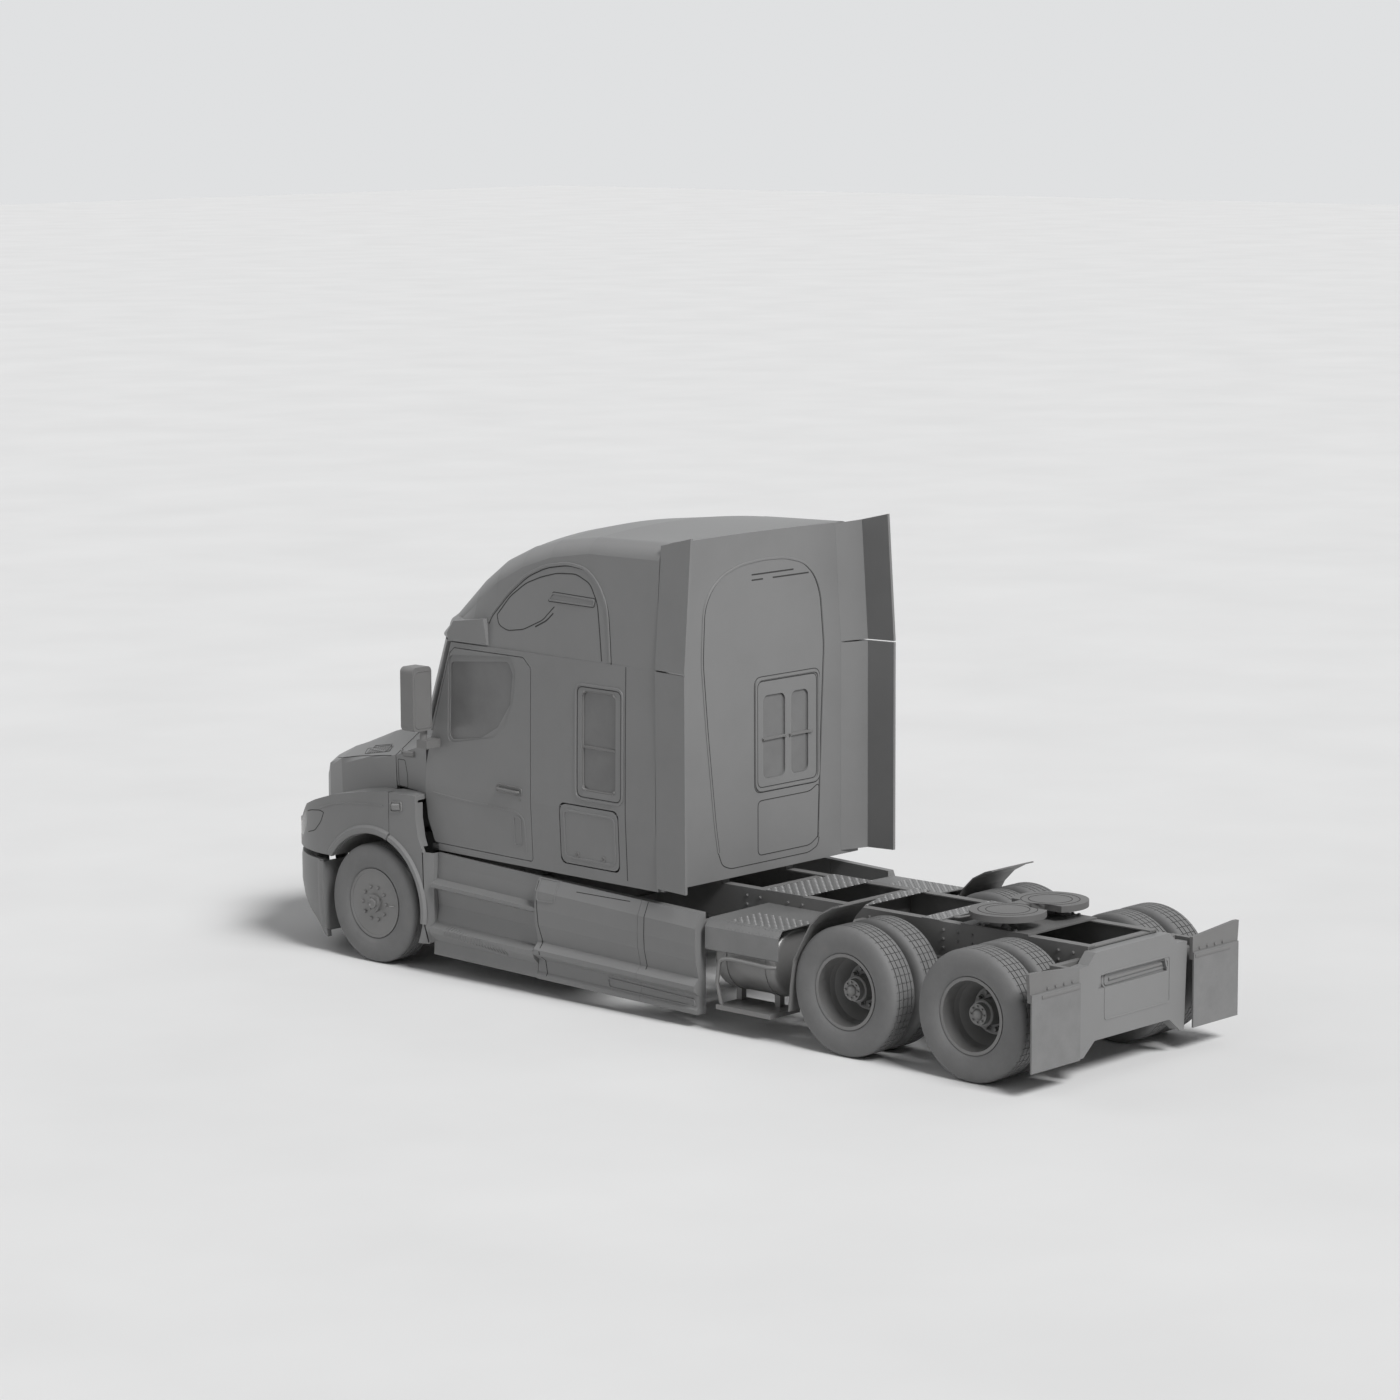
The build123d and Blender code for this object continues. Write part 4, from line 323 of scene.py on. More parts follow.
class Draft:
    """One dressing piece, collected in a mesh and then put on its body."""

    def __init__(self):
        self.mesh = bmesh.new()

    def ring_faces(self, rings, closed):
        """Faces between rows of points; an open row of rings gets an end face at each end."""
        rows = len(rings)
        sides = len(rings[0])
        for row in range(rows if closed else rows - 1):
            for side in range(sides):
                one, two = rings[row], rings[(row + 1) % rows]
                after = (side + 1) % sides
                self.mesh.faces.new((one[side], one[after], two[after], two[side]))
        if not closed:
            self.mesh.faces.new(rings[0][::-1])
            self.mesh.faces.new(rings[-1])

    def strip(self, rows, width, rise, sink=0.002, closed=False, bevel=0.3):
        """A bead along (place, normal) rows, width across and rise proud of the surface."""
        rows = [row for row in rows if row is not None]
        if len(rows) < 3:
            return
        half, shoulder = width / 2, rise * 0.4
        inner = half * (1 - bevel)
        section = ((-half, -sink), (-half, shoulder), (-inner, rise), (inner, rise), (half, shoulder),
                   (half, -sink))
        rings = []
        last = len(rows) - 1
        for index, (place, normal) in enumerate(rows):
            before = rows[index - 1][0] if index or closed else place
            after = rows[(index + 1) % len(rows)][0] if index < last or closed else place
            along = (after - before).normalized()
            side = along.cross(normal).normalized()
            rings.append([self.mesh.verts.new(place + side * across + normal * up) for across, up in section])
        self.ring_faces(rings, closed)

    def line(self, skin, view, points, width, rise, radius=0.0, closed=True, step=0.03, bevel=0.3,
             sink=0.002):
        """A bead over the CAD surface along points seen from one side."""
        path = rounded([(a, b, 0.0) for a, b in points], radius, closed) if radius else points
        path = dense([(point[0], point[1], 0.0) for point in path], step, closed)
        self.strip([skin.find(view, point.x, point.y) for point in path], width, rise, sink, closed, bevel)

    def side_line(self, skin, side, points, *sizes, **shape):
        """A bead over the left or right surface along (station, height) points."""
        self.line(skin, side, [(at(station), height) for station, height in points], *sizes, **shape)

    def tube(self, points, radius, bend=0.04, sides=12):
        """A round tube along points, with rounded bends."""
        path = rounded(points, bend, closed=False)
        rings = []
        side = None
        for index, place in enumerate(path):
            before, after = path[max(index - 1, 0)], path[min(index + 1, len(path) - 1)]
            along = (after - before).normalized()
            if side is None:
                side = along.orthogonal().normalized()
            side = (side - along * side.dot(along)).normalized()
            other = along.cross(side)
            rings.append([self.mesh.verts.new(place + side * math.cos(turn) * radius
                                              + other * math.sin(turn) * radius)
                          for turn in (2 * math.pi * part / sides for part in range(sides))])
        self.ring_faces(rings, False)

    def turned(self, profile, place, axis, sides=24):
        """A turned solid: profile rows of (offset along the axis, radius)."""
        axis = Vector(axis).normalized()
        side = axis.orthogonal().normalized()
        other = axis.cross(side)
        place = Vector(place)
        rings = []
        for offset, radius in profile:
            rings.append([self.mesh.verts.new(place + axis * offset
                                              + (side * math.cos(turn) + other * math.sin(turn)) * radius)
                          for turn in (2 * math.pi * part / sides for part in range(sides))])
        self.ring_faces(rings, False)

    def hexes(self, places, axis, radius, height, washer=1.35):
        """Hexagon bolt heads on washers."""
        for place in places:
            rim = radius * washer
            self.turned([(-0.003, rim), (height * 0.2, rim), (height * 0.24, radius * 1.2)], place, axis, 16)
            self.turned([(0.0, radius), (height * 0.88, radius), (height, radius * 0.86)], place, axis, 6)

    def finish(self, name, body, material, smooth=35.0):
        """Makes the object, puts it on its body and gives it its finish."""
        bmesh.ops.recalc_face_normals(self.mesh, faces=self.mesh.faces)
        limit = math.radians(smooth)
        for face in self.mesh.faces:
            face.smooth = True
        for edge in self.mesh.edges:
            if len(edge.link_faces) == 2 and edge.calc_face_angle(0.0) > limit:
                edge.smooth = False
        data = bpy.data.meshes.new(name)
        self.mesh.to_mesh(data)
        self.mesh.free()
        data.materials.append(materials[material])
        piece = bpy.data.objects.new(name, data)
        bpy.context.collection.objects.link(piece)
        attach(piece, body)
        return piece


SIDES = (("left", 1), ("right", -1))

# How far a drawn line and a finer seam stand proud of the surface
LINE_RISE = 0.0018
SEAM_RISE = 0.0016

# The least share of a found normal along the asked direction, for a level, a flat and a square face
LEVEL_SHARE = 0.6
FLAT_SHARE = 0.7
SQUARE_SHARE = 0.9

cab_skin = Skin("cab_sides", "roof_cap", "extenders", "fixed_glass")
wall_skin = Skin("back_wall", "fixed_glass", "roof_cap")


# Tyres: places across the tread and depths in metres, then the steps or pitches round each tyre

BEAD_HALF = 0.1047
GROOVE_PLACES = (0.026, 0.072)
GROOVE_HALF = 0.005
GROOVE_DEPTH = 0.014
GROOVE_TAPER = 0.0012
SLOT_DEPTH = 0.009
SHOULDER_ROW = (0.092, 0.5113, 1.0)
TREAD_GAP = 0.0006
TREAD_CROWN = 0.18
FRONT_STEPS = 144
DRIVE_PITCHES = 52

# Where a tread slot ends, and three points on the block after it, as shares of one pitch
SLOT_END = 0.07
BLOCK_START = 0.08
BLOCK_MIDDLE = 0.5
BLOCK_END = 0.99

# Wheel fittings: how many, the radius of their circle, and the size of each nut or bolt
NUTS = 10
NUT_CIRCLE = 0.1425
NUT_RADIUS = 0.0165
CAP_BOLTS = 6
CAP_CIRCLE = 0.058
FLANGE_BOLTS = 8
FLANGE_CIRCLE = 0.062


def tyre_rows():
    """Profile rows (offset, radius, tread share) from one bead to the other, kept inside the CAD outline."""
    side = [(BEAD_HALF, 0.2863), (BEAD_HALF, 0.2983), (0.112, 0.305), (0.1262, 0.322), (0.1352, 0.350),
            (0.1408, 0.385), (0.1412, 0.415), (0.1385, 0.448), (0.1325, 0.474), (0.1235, 0.494),
            (0.112, 0.5045), (0.099, 0.5098)]
    tread = [(0.0, 0.0, 0.0)]
    for groove in GROOVE_PLACES:
        low, high = groove - GROOVE_HALF, groove + GROOVE_HALF
        tread += [(low, 0.0, 0.0), (low, GROOVE_TAPER, GROOVE_DEPTH), (high, -GROOVE_TAPER, GROOVE_DEPTH),
                  (high, 0.0, 0.0)]
    top = TYRE_RADIUS - TREAD_GAP
    half = [(offset + taper, top - TREAD_CROWN * offset * offset - depth, 0.0 if depth else 1.0)
            for offset, taper, depth in tread]
    half += [SHOULDER_ROW] + [(offset, radius, 0.0) for offset, radius in side[::-1]]
    return [(-offset, radius, share) for offset, radius, share in half[:0:-1]] + half


def tyre(draft, centre, pitches, slots):
    """One tyre about the X axis: grooved tread, with slots across the ribs where slots is true."""
    rows = tyre_rows()
    turns = []
    for pitch in range(pitches):
        base = 2 * math.pi * pitch / pitches
        if slots:
            share = 2 * math.pi / pitches
            turns += [(base, 1.0), (base + share * SLOT_END, 1.0), (base + share * BLOCK_START, 0.0),
                      (base + share * BLOCK_MIDDLE, 0.0), (base + share * BLOCK_END, 0.0)]
        else:
            turns.append((base, 0.0))
    rings = []
    for turn, cut in turns:
        rings.append([draft.mesh.verts.new((centre[0] + offset,
                                            centre[1] + (radius - cut * tread * SLOT_DEPTH) * math.cos(turn),
                                            centre[2] + (radius - cut * tread * SLOT_DEPTH) * math.sin(turn)))
                      for offset, radius, tread in rows])
    draft.ring_faces(rings, True)


def tyres():
    """Tyres with tread, in place of the six plain tyre nodes."""
    for side, sign in SIDES:
        draft = Draft()
        tyre(draft, (sign * FRONT_WHEEL_X, at(0.0), TYRE_RADIUS), FRONT_STEPS, False)
        piece = draft.finish(f"front_tyre_tread_{side}", f"front_wheel_{side}", "tyre", smooth=30)
        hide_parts(f"front_tyre_{side}")
        for axle, station in zip(("front", "rear"), DRIVE_STATIONS):
            draft = Draft()
            for share in (-0.5, 0.5):
                centre = (sign * DUAL_X + share * DUAL_SPACING, at(station), TYRE_RADIUS)
                tyre(draft, centre, DRIVE_PITCHES, True)
            piece = draft.finish(f"{axle}_drive_tyre_tread_{side}", f"{axle}_drive_wheels_{side}", "tyre",
                                 smooth=30)
            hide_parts(f"{axle}_drive_tyres_{side}")


def ring_of(count, radius, x, station):
    """Places on a circle about a wheel's axis."""
    turns = [2 * math.pi * part / count for part in range(count)]
    return [Vector((x, at(station) + radius * math.cos(turn), TYRE_RADIUS + radius * math.sin(turn)))
            for turn in turns]


def wheel_fittings():
    """Wheel nuts, hub caps, axle flange bolts, valve stems and the rim's lip bead."""
    for side, sign in SIDES:
        axis = (sign, 0, 0)
        draft = Draft()
        face = sign * (FRONT_WHEEL_X + 0.100)
        draft.hexes(ring_of(NUTS, NUT_CIRCLE, face, 0.0), axis, NUT_RADIUS, 0.028)
        draft.hexes(ring_of(CAP_BOLTS, CAP_CIRCLE, sign * (FRONT_WHEEL_X + 0.135), 0.0), axis, 0.007, 0.007)
        hub = (sign * (FRONT_WHEEL_X + 0.133), at(0.0), TYRE_RADIUS)
        cap = [(0.0, 0.044), (0.012, 0.043), (0.016, 0.038), (0.016, 0.026), (0.012, 0.024), (0.012, 0.006)]
        draft.turned(cap, hub, axis, 32)
        rim = (sign * FRONT_WHEEL_X, at(0.0), TYRE_RADIUS)
        lip = [(0.112, 0.2985), (0.1165, 0.2975), (0.118, 0.293), (0.1165, 0.2885), (0.112, 0.287)]
        draft.turned(lip + [(0.1125, 0.2875)], rim, axis, 72)
        stem = Vector((sign * (FRONT_WHEEL_X + 0.085), at(0.0) + 0.235, TYRE_RADIUS))
        bend, end = stem + Vector((sign * 0.02, 0.008, 0)), stem + Vector((sign * 0.055, -0.02, 0))
        draft.tube([stem, bend, end], 0.006, 0.02, 8)
        draft.finish(f"front_wheel_nuts_{side}", f"front_wheel_{side}", "wheel_metal")
        for axle, station in zip(("front", "rear"), DRIVE_STATIONS):
            draft = Draft()
            draft.hexes(ring_of(NUTS, NUT_CIRCLE, sign * (DUAL_X + 0.014), station), axis, NUT_RADIUS, 0.045)
            places = ring_of(FLANGE_BOLTS, FLANGE_CIRCLE, sign * (DUAL_X + 0.205), station)
            draft.hexes(places, axis, 0.009, 0.014)
            hub = (sign * (DUAL_X + 0.203), at(station), TYRE_RADIUS)
            draft.turned([(0.0, 0.046), (0.010, 0.044), (0.026, 0.030), (0.032, 0.012)], hub, axis, 32)
            collar = (sign * (DUAL_X + 0.148), at(station), TYRE_RADIUS)
            draft.turned([(0.0, 0.101), (0.006, 0.101), (0.009, 0.097)], collar, axis, 40)
            draft.finish(f"{axle}_drive_wheel_nuts_{side}", f"{axle}_drive_wheels_{side}", "wheel_metal")


tyres()
wheel_fittings()

# Body seams drawn as dark strips of painted shade, frames and fittings on both sides

# The two arch lines on the roof side, as (station, height)
ARCH_OUTER = ((1.300, 3.030), (1.330, 3.090), (1.526, 3.286), (1.759, 3.456), (1.990, 3.548), (2.254, 3.590),
              (2.478, 3.567), (2.626, 3.458), (2.734, 3.279), (2.762, 3.067), (2.785, 2.840))
ARCH_INNER = ((1.414, 3.098), (1.564, 3.262), (1.758, 3.387), (1.950, 3.455), (2.140, 3.500), (2.366, 3.512),
              (2.533, 3.450), (2.624, 3.297), (2.658, 3.085), (2.692, 2.840))
# The leaf-shaped hollow inside the arch
LEAF = ((1.414, 3.098), (1.443, 3.018), (1.559, 2.981), (1.752, 3.009), (1.983, 3.106), (2.118, 3.227))


# Lens places on each headlamp, as (x, height)
LENS_PLACES = ((0.930, 1.100), (1.030, 1.110))

# Louvres in each hood vent, and the ribs on the step
LOUVRES = 10
STEP_RIBS = 22
STEP_START = 0.900
STEP_PITCH = 0.034
STEP_LEVEL = 0.372
STEP_FALL = 0.11
STEP_RIB = 0.060


def cab_trim():
    """The roof side's arch lines, the sleeper window's frame and bar, and the seam behind it; the dark lines
    along the arches, the hollow, the frames and the seam are painted shade.
    """
    for side, _ in SIDES:
        beads = Draft()
        beads.side_line(cab_skin, side, ARCH_OUTER, 0.026, 0.007, 0.08, closed=False)
        beads.side_line(cab_skin, side, [(2.052, 3.277), (2.091, 3.334), (2.589, 3.322), (2.577, 3.272)],
                        0.014, 0.006, 0.02)
        beads.side_line(cab_skin, side, [(2.400, 1.700), (2.400, 2.632), (2.935, 2.632), (2.935, 1.700)],
                        0.022, 0.008, 0.07)
        beads.finish(f"cab_trim_{side}", "chassis", "body_paint")
        # Near-black strips of painted shade along the arches' creases, the hollow's edge, the frames and the
        # seam
        lines = Draft()
        lines.side_line(cab_skin, side,
                        [(station + 0.018, height - 0.016) for station, height in ARCH_OUTER], 0.009,
                        LINE_RISE, 0.08, closed=False)
        lines.side_line(cab_skin, side, ARCH_INNER, 0.010, LINE_RISE, 0.05, closed=False)
        lines.side_line(cab_skin, side, [(2.040, 3.265), (2.095, 3.346), (2.602, 3.334), (2.590, 3.262)],
                        0.006, LINE_RISE, 0.02)
        lines.side_line(cab_skin, side, LEAF, 0.009, LINE_RISE, 0.04, closed=False)
        lines.side_line(cab_skin, side, [(1.897, 3.045), (2.031, 3.106), (2.108, 3.173)], 0.012, LINE_RISE,
                        0.04, closed=False)
        lines.side_line(cab_skin, side, [(2.970, 1.090), (2.970, 2.822)], 0.007, SEAM_RISE, closed=False)
        lines.side_line(cab_skin, side, [(2.418, 1.718), (2.418, 2.614), (2.917, 2.614), (2.917, 1.718)],
                        0.007, SEAM_RISE, 0.06)
        lines.finish(f"cab_seam_shade_{side}", "chassis", "painted_seam_shade")
        seal = Draft()
        seal.side_line(cab_skin, side, [(2.474, 1.774), (2.474, 2.586), (2.856, 2.586), (2.856, 1.774)],
                       0.020, 0.012, 0.06, bevel=0.6, sink=0.012)
        seal.side_line(cab_skin, side, [(2.478, 2.130), (2.852, 2.128)], 0.022, 0.012, closed=False)
        seal.finish(f"sleeper_window_seal_{side}", "chassis", "trim")


def wall_trim():
    """The back wall's arch line, its window unit with two mid bars, the panel below and the slots above; the
    dark lines along the arch, the frames, the panel and the slots are painted shade.
    """
    beads = Draft()
    arch = [(0.546, 1.269), (0.585, 1.493), (0.679, 2.265), (0.734, 2.836), (0.711, 3.262), (0.624, 3.414),
            (0.474, 3.521), (0.275, 3.583), (0.0, 3.606), (-0.275, 3.596), (-0.500, 3.540), (-0.640, 3.430),
            (-0.720, 3.262), (-0.765, 2.836), (-0.735, 2.265), (-0.700, 1.493), (-0.690, 1.230)]
    beads.line(wall_skin, "rear", arch, 0.020, 0.006, 0.08, closed=False)
    beads.line(wall_skin, "rear", [(0.090, 1.715), (0.090, 2.630), (-0.680, 2.630), (-0.680, 1.715)], 0.024,
               0.010, 0.07)
    beads.finish("back_wall_trim", "chassis", "body_paint")
    # Near-black strips of painted shade along the arch's crease, the window's frames, the panel's outline and
    # the slots
    lines = Draft()
    lines.line(wall_skin, "rear", [(x * 0.975, z) for x, z in arch], 0.009, LINE_RISE, 0.08, closed=False)
    lines.line(wall_skin, "rear", [(0.108, 1.697), (0.108, 2.648), (-0.698, 2.648), (-0.698, 1.697)], 0.006,
               LINE_RISE, 0.08)
    lines.line(wall_skin, "rear", [(0.066, 1.180), (0.066, 1.630), (-0.576, 1.630), (-0.689, 1.690),
                                   (-0.689, 1.245), (-0.576, 1.180)], 0.008, LINE_RISE, 0.05)
    lines.line(wall_skin, "rear", [(0.546, 1.269), (0.500, 1.160), (0.400, 1.120), (-0.560, 1.120),
                                   (-0.670, 1.160), (-0.690, 1.230)], 0.008, LINE_RISE, 0.04, closed=False)
    for level, reach in ((3.490, ((0.135, -0.372),)), (3.446, ((0.135, 0.000), (-0.120, -0.560)))):
        for start, end in reach:
            lines.line(wall_skin, "rear", [(start, level), (end, level)], 0.012, 0.002, closed=False)
    lines.line(wall_skin, "rear", [(0.068, 1.738), (0.068, 2.608), (-0.658, 2.608), (-0.658, 1.738)], 0.007,
               LINE_RISE, 0.06)
    lines.finish("back_wall_seam_shade", "chassis", "painted_seam_shade")
    bars = Draft()
    for start, end in ((0.012, -0.268), (-0.318, -0.592)):
        bars.line(wall_skin, "rear", [(start, 2.128), (end, 2.132)], 0.024, 0.016, closed=False, sink=0.010)
    bars.finish("back_window_bars", "chassis", "trim")


def luggage_trim():
    """Each luggage door's pressed inner panel and its two latches."""
    for side, _ in SIDES:
        skin = Skin(f"luggage_door_{side}")
        draft = Draft()
        draft.side_line(skin, side, [(2.257, 1.200), (2.257, 1.585), (2.838, 1.585), (2.838, 1.200)], 0.020,
                        0.006, 0.05)
        draft.finish(f"luggage_panel_{side}", f"luggage_door_{side}", "body_paint")
        draft = Draft()
        for station in (2.400, 2.700):
            place, normal = skin.find(side, at(station), 1.230)
            dish = [(-0.004, 0.026), (0.004, 0.026), (0.007, 0.022), (0.007, 0.012), (0.004, 0.010)]
            draft.turned(dish, place, normal, 24)
            draft.turned([(0.0, 0.009), (0.009, 0.008)], place, normal, 6)
        draft.finish(f"luggage_latches_{side}", f"luggage_door_{side}", "trim")


def door_trim():
    """Each door's creases, the frame near its rear edge, and its handle with the lock below."""
    for side, _ in SIDES:
        skin = Skin(f"door_{side}")
        draft = Draft()
        draft.side_line(skin, side, [(0.660, 1.533), (1.049, 1.513), (1.443, 1.509), (1.700, 1.496),
                                     (1.778, 1.440), (1.792, 1.170)], 0.016, 0.004, 0.05, closed=False)
        draft.side_line(skin, side, [(1.655, 1.215), (1.655, 1.455), (1.735, 1.455), (1.735, 1.215)], 0.012,
                        0.006, 0.03)
        draft.finish(f"door_creases_{side}", f"door_{side}", "body_paint")
        draft = Draft()
        rows = [skin.find(side, at(station), height) for station, height in
                ((1.480, 1.672), (1.560, 1.670), (1.640, 1.668), (1.735, 1.664))]
        if all(rows):
            stand = [place + normal * 0.004 for place, normal in rows]
            proud = [place + normal * 0.026 for place, normal in rows]
            front, rear = proud[0].lerp(proud[1], 0.2), proud[3].lerp(proud[2], 0.2)
            draft.tube([stand[0], front, proud[2], rear, stand[3]], 0.011, 0.03)
            draft.side_line(skin, side, [(1.455, 1.640), (1.455, 1.705), (1.760, 1.696), (1.760, 1.631)],
                            0.012, 0.005, 0.03)
        place, normal = skin.find(side, at(1.735), 1.600)
        draft.turned([(-0.003, 0.012), (0.003, 0.012), (0.004, 0.004)], place, normal, 20)
        draft.finish(f"door_handle_{side}", f"door_{side}", "trim")


def hood_trim():
    """Hood vents, creases and seams, side lamps, the cowl's seams and latches, and the headlamp lenses; the
    seams and the fine crease lines are dark strips of painted shade.
    """
    skin = Skin("hood", "headlamps")
    lamp_skin = Skin("fender_rears")
    cowl_skin = Skin("cowl")
    lamp_face = Skin("headlamps")
    for side, sign in SIDES:
        draft = Draft()
        draft.side_line(skin, side, [(-0.520, 1.722), (-0.505, 1.752), (-0.215, 1.805), (-0.200, 1.752)],
                        0.014, 0.007, 0.012)
        draft.side_line(skin, side, [(-0.643, 1.262), (-0.480, 1.315), (-0.324, 1.340), (-0.100, 1.366),
                                     (0.150, 1.372)], 0.014, 0.004, 0.06, closed=False)
        draft.finish(f"hood_side_trim_{side}", "hood", "body_paint")
        draft = Draft()
        for part in range(LOUVRES):
            share = part / (LOUVRES - 1)
            station, low = -0.520 + share * 0.380, 1.694 + share * 0.074
            draft.side_line(skin, side, [(station, low), (station - 0.018, low + 0.030)], 0.014, 0.005,
                            closed=False, step=0.01)
        draft.finish(f"hood_vent_{side}", "hood", "trim")
        lamp = Draft()
        lamp.side_line(lamp_skin, side, [(0.250, 1.334), (0.250, 1.420), (0.378, 1.430), (0.380, 1.350)],
                       0.010, 0.010, 0.02)
        lamp.side_line(lamp_skin, side, [(0.268, 1.380), (0.315, 1.385), (0.362, 1.390)], 0.056, 0.017,
                       closed=False, step=0.01, bevel=0.5)
        lamp.finish(f"side_lamp_{side}", "chassis", "lamp")
        # Near-black strips of painted shade along the hood's seams and creases
        seams = Draft()
        seams.side_line(skin, side, [(-0.560, 1.682), (-0.118, 1.768), (-0.200, 1.800), (-0.620, 1.712)],
                        0.006, SEAM_RISE, 0.015)
        seams.side_line(skin, side, [(-1.136, 1.560), (-0.562, 1.668), (-0.020, 1.752)], 0.008, LINE_RISE,
                        closed=False)
        for points in (((-0.596, 1.227), (-0.648, 1.241), (-0.796, 1.222), (-0.870, 1.200)),
                       ((-0.596, 1.227), (-0.640, 1.140), (-0.734, 1.054), (-0.860, 1.020))):
            seams.side_line(skin, side, points, 0.008, LINE_RISE, 0.03, closed=False)
        seams.finish(f"hood_seam_shade_{side}", "hood", "painted_seam_shade")
        # Near-black strips of painted shade along the cowl panel's seam
        panel = Draft()
        panel.side_line(cowl_skin, side, [(0.095, 1.739), (0.095, 1.512), (0.238, 1.512), (0.238, 1.619),
                                          (0.205, 1.745)], 0.006, SEAM_RISE, 0.015)
        panel.finish(f"cowl_seam_shade_{side}", "chassis", "painted_seam_shade")
        latch = Draft()
        latch.side_line(cowl_skin, side, [(0.190, 1.800), (0.280, 1.806), (0.360, 1.814)], 0.050, 0.018,
                        closed=False, step=0.02, bevel=0.4)
        latch.side_line(cowl_skin, side, [(0.100, 1.806), (0.150, 1.806), (0.200, 1.808)], 0.026, 0.022,
                        closed=False, step=0.02, bevel=0.4)
        latch.finish(f"hood_latch_{side}", "chassis", "trim")
        lens = Draft()
        spots = [lamp_face.find("front", sign * x, height) for x, height in LENS_PLACES]
        for place, normal in filter(None, spots):
            lens.turned([(-0.006, 0.042), (0.005, 0.042), (0.008, 0.038), (0.008, 0.034), (0.003, 0.031),
                         (0.006, 0.014), (0.007, 0.003)], place, normal, 32)
        lens.finish(f"headlamp_lens_{side}", "hood", "lamp")


def skirt_trim():
    """Skirt seams as dark strips of painted shade, the frames of the upper box and the low panel, and the
    ribs on the step.
    """
    skin = Skin("side_skirts", "fender_rears", "cab_sides")
    for side, _ in SIDES:
        # Near-black strips of painted shade along the skirt's seams
        lines = Draft()
        lines.side_line(skin, side, [(1.960, 0.990), (1.985, 0.619), (2.014, 0.385), (2.060, 0.180)], 0.008,
                        LINE_RISE, closed=False)
        lines.side_line(skin, side, [(3.180, 0.975), (3.180, 0.400)], 0.007, SEAM_RISE, closed=False)
        lines.side_line(skin, side, [(2.400, 0.925), (2.990, 0.925)], 0.007, SEAM_RISE, closed=False)
        lines.finish(f"skirt_seam_shade_{side}", "chassis", "painted_seam_shade")
        beads = Draft()
        beads.side_line(skin, side, [(1.975, 0.800), (1.975, 0.995), (2.180, 1.000), (2.180, 0.810)], 0.012,
                        0.005, 0.03)
        beads.side_line(skin, side, [(2.760, 0.190), (2.740, 0.262), (3.690, 0.226), (3.700, 0.170)], 0.014,
                        0.006, 0.02)
        beads.finish(f"skirt_frames_{side}", "chassis", "body_paint")
        tread = Draft()
        for part in range(STEP_RIBS):
            station = STEP_START + part * STEP_PITCH
            level = STEP_LEVEL - (station - STEP_START) * STEP_FALL
            tread.side_line(skin, side, [(station, level), (station, level + STEP_RIB)], 0.010, 0.005,
                            closed=False, step=0.015)
        tread.finish(f"skirt_tread_{side}", "chassis", "tread_plate")


def mirror_trim():
    """The frame round each mirror's glass."""
    for side, sign in SIDES:
        skin = Skin(f"mirror_{side}")
        draft = Draft()
        inner, outer = sign * 1.205, sign * 1.425
        draft.line(skin, "rear", [(inner, 2.115), (inner, 2.590), (outer, 2.590), (outer, 2.115)], 0.010,
                   0.004, 0.04)
        draft.finish(f"mirror_frame_{side}", f"door_{side}", "trim")


def arch_band(draft, sign, rows, arc):
    """A crowned band round the arch, from rows of (share across, half width).

    The arc is (start, end, radius, width), with start and end in degrees from straight up.
    """
    start, end, radius, width = arc
    count = max(6, int(abs(end - start) / 4))
    rings = []
    for part in range(count + 1):
        turn = math.radians(start + (end - start) * part / count)
        ring = []
        for share, proud in rows:
            reach = radius + share * width
            ring.append(draft.mesh.verts.new((sign * proud, at(reach * math.sin(turn)),
                                              TYRE_RADIUS + reach * math.cos(turn))))
        rings.append(ring)
    draft.ring_faces(rings, False)


